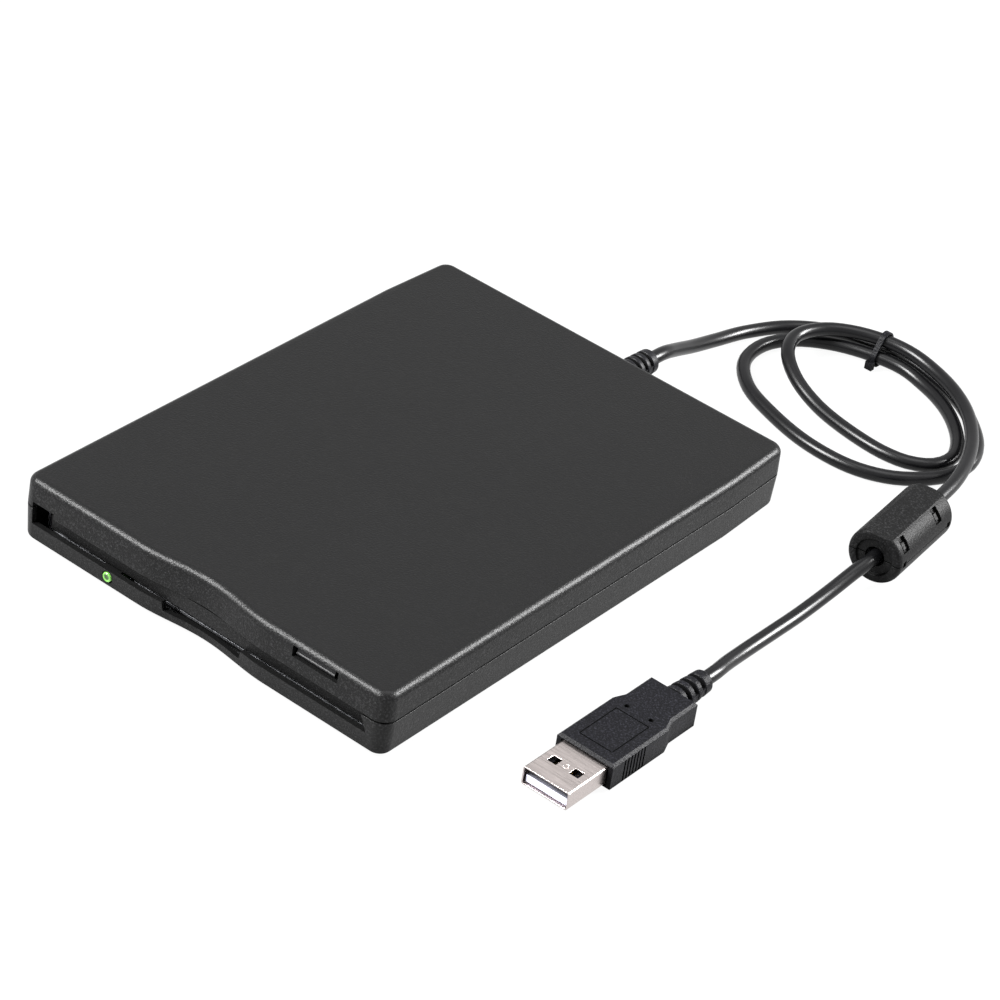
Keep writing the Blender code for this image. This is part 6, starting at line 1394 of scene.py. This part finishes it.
def build_spring(name, node, turns):
    low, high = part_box(node)
    wire = 0.0002
    centre = ((low.x + high.x) / 2, low.y + wire, (low.z + high.z) / 2)
    length = high.y - low.y - 2 * wire
    points = helix(centre, "Y", (high.x - low.x) / 2 - wire, turns, length)
    return solid(name, [sweep(points, wire)])


def build_door_spring():
    low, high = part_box("door_spring")
    wire, coil, turns = 0.00012, 0.00095, 4
    centre = (low.x + wire, (low.y + high.y) / 2, DOOR_PIN_Z)
    points = helix(centre, "X", coil - wire / 2, turns, high.x - low.x - 2 * wire)
    return solid("door_spring_coil", [sweep(points, wire)])


def soften(obj, width):
    """Rounds a CAD node's edges with modifiers, its own mesh as it was."""
    weld = obj.modifiers.new("Weld", "WELD")
    weld.merge_threshold = 1e-6
    flat = obj.modifiers.new("Flat", "DECIMATE")
    flat.decimate_type, flat.angle_limit = "DISSOLVE", math.radians(0.5)
    bevel = obj.modifiers.new("Edges", "BEVEL")
    bevel.width, bevel.segments = width, 2
    bevel.limit_method, bevel.angle_limit = "ANGLE", math.radians(40)


class FLOPPY_OT_mechanism(bpy.types.Operator):
    """Builds the thread and the springs, and finishes the pieces kept from the CAD"""

    bl_idname = "floppy_looks.mechanism"
    bl_label = "Mechanism"

    def execute(self, context):
        drive = context.scene.floppy_mechanism
        finish = finishes()
        thread = build_thread(drive.thread_turns)
        dress(thread, "lead_screw", finish["screw_steel"], "screw_steel", "lead_screw")
        for side in ("left", "right"):
            node = f"eject_spring_{side}"
            spring = build_spring(f"{node}_coil", node, drive.spring_turns)
            dress(spring, "case", finish["spring_steel"], "spring_steel", node)
            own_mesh(spring)
        dress(build_door_spring(), "dust_door", finish["spring_steel"], "spring_steel", "door_spring")
        for name, obj in sorted(frame["nodes"].items()):
            if obj.hide_render:
                continue
            slot = obj.material_slots[0].material.name.split(".")[0]
            if slot not in finish:
                raise RuntimeError(f"{name} has a material slot {slot} with no finish")
            for holder in obj.material_slots:
                holder.material = finish[slot]
            soften(obj, drive.edge_bevel)
        for name in ("lower_head", "upper_head"):
            room = frame["nodes"][name].modifiers.new("Room", "DISPLACE")
            room.strength, room.mid_level = -HEAD_ROOM, 0
        return {"FINISHED"}


# Stage


def area_lamp(name, place, target, size, power):
    data = bpy.data.lights.new(name, "AREA")
    data.shape, data.size, data.size_y, data.energy = "RECTANGLE", size[0], size[1], power
    obj = bpy.data.objects.new(name, data)
    bpy.context.scene.collection.objects.link(obj)
    obj.location = place
    obj.rotation_euler = (Vector(target) - Vector(place)).to_track_quat("-Z", "Y").to_euler()


def seen_directly(tree):
    """One where a camera, glossy or transmission ray looks, and nothing elsewhere."""
    path = add_node(tree, "ShaderNodeLightPath").outputs
    seen = math_node(tree, "MAXIMUM", path["Is Camera Ray"], path["Is Glossy Ray"])
    return math_node(tree, "MAXIMUM", seen, path["Is Transmission Ray"])


def either(tree, share, first, second):
    """The first shader where the share is 0, and the second where it is 1."""
    return add_node(tree, "ShaderNodeMixShader", enumerate((share, first, second))).outputs[0]


class FLOPPY_OT_stage(bpy.types.Operator):
    """Sets the camera, the lamps, the floor and the world"""

    bl_idname = "floppy_looks.stage"
    bl_label = "Stage"

    def execute(self, context):
        stage = context.scene.floppy_stage
        scene = context.scene
        scene.view_settings.view_transform = "Standard"
        turn, rise = stage.azimuth, stage.elevation
        back = Vector((math.sin(turn) * math.cos(rise), -math.cos(turn) * math.cos(rise), math.sin(rise)))
        right = Vector((0, 0, 1)).cross(back).normalized()
        up = back.cross(right)
        cos_roll, sin_roll = math.cos(stage.roll), math.sin(stage.roll)
        x_axis = cos_roll * right + sin_roll * up
        y_axis = -sin_roll * right + cos_roll * up
        data = bpy.data.cameras.new("Camera")
        data.lens, data.sensor_width, data.sensor_fit = stage.lens, 36, "HORIZONTAL"
        data.clip_start, data.clip_end = 0.01, 50
        camera = bpy.data.objects.new("Camera", data)
        scene.collection.objects.link(camera)
        turned = Matrix((x_axis, y_axis, back)).transposed().to_4x4()
        camera.matrix_world = Matrix.Translation(Vector(stage.target) + back * stage.distance) @ turned
        scene.camera = camera
        reach = 4
        corners = [(-reach, -reach, 0), (reach, -reach, 0), (reach, reach, 0), (-reach, reach, 0)]
        floor = make_object("floor", mesh_from(corners, [(0, 1, 2, 3)]))
        material, tree, shader, out = new_material("Studio floor")
        feed(shader, [("Base Color", (0.62, 0.62, 0.62, 1)), ("Roughness", 0.8), ("Specular IOR Level", 0.1)])
        white = add_node(tree, "ShaderNodeEmission").outputs[0]
        whiteness = math_node(tree, "MULTIPLY", seen_directly(tree), stage.floor_white)
        above = either(tree, whiteness, shader.outputs[0], white)
        below = add_node(tree, "ShaderNodeNewGeometry").outputs["Backfacing"]
        clear = add_node(tree, "ShaderNodeBsdfTransparent").outputs[0]
        feed(out, [("Surface", either(tree, below, above, clear))])
        floor.data.materials.append(material)
        world = bpy.data.worlds.new("World")
        scene.world = world
        world.use_nodes = True
        nodes = world.node_tree
        nodes.nodes.clear()
        levels = [add_node(nodes, "ShaderNodeBackground", [("Color", (1, 1, 1, 1)), ("Strength", level)])
                  for level in (stage.world_level, 1.0)]
        path = add_node(nodes, "ShaderNodeLightPath").outputs
        seen = math_node(nodes, "MAXIMUM", path["Is Camera Ray"], path["Is Transmission Ray"])
        sky = either(nodes, seen, *(level.outputs[0] for level in levels))
        add_node(nodes, "ShaderNodeOutputWorld", [("Surface", sky)])
        area_lamp("Front left softbox", (-0.50, -0.62, 0.74), (0, 0, 0), (0.30, 0.50), 38.0)
        area_lamp("Rear right softbox", (0.62, 0.74, 0.52), (0.02, 0, 0), (0.30, 0.50), 38.0)
        area_lamp("Overhead softbox", (0.05, 0.10, 1.00), (0, 0, 0), (0.60, 0.60), 4.0)
        return {"FINISHED"}


class FLOPPY_PT_looks(bpy.types.Panel):
    """Lists the steps that build the looks"""

    bl_label = "Floppy drive looks"
    bl_space_type = "VIEW_3D"
    bl_region_type = "UI"
    bl_category = "Floppy drive"

    def draw(self, context):
        layout = self.layout
        for operator in OPERATORS:
            layout.operator(operator.bl_idname)
        for name in GROUPS:
            settings = getattr(context.scene, name)
            column = layout.column(align=True)
            for prop in settings.bl_rna.properties:
                if prop.identifier not in ("rna_type", "name"):
                    column.prop(settings, prop.identifier)


GROUPS = {
    "floppy_case": CaseSettings,
    "floppy_mechanism": MechanismSettings,
    "floppy_lead": LeadSettings,
    "floppy_stage": StageSettings,
}
OPERATORS = (FLOPPY_OT_stage, FLOPPY_OT_lead, FLOPPY_OT_case_shells, FLOPPY_OT_front,
             FLOPPY_OT_underside, FLOPPY_OT_mechanism)


def register():
    for name, group in GROUPS.items():
        bpy.utils.register_class(group)
        setattr(bpy.types.Scene, name, PointerProperty(type=group))
    for operator in OPERATORS:
        bpy.utils.register_class(operator)
    bpy.utils.register_class(FLOPPY_PT_looks)


def unregister():
    bpy.utils.unregister_class(FLOPPY_PT_looks)
    for operator in reversed(OPERATORS):
        bpy.utils.unregister_class(operator)
    for name, group in reversed(list(GROUPS.items())):
        delattr(bpy.types.Scene, name)
        bpy.utils.unregister_class(group)


def main():
    register()
    bpy.ops.floppy_looks.stage()
    bpy.ops.floppy_looks.lead()
    bpy.ops.floppy_looks.case_shells()
    bpy.ops.floppy_looks.front()
    bpy.ops.floppy_looks.underside()
    bpy.ops.floppy_looks.mechanism()


if __name__ == "__main__":
    main()
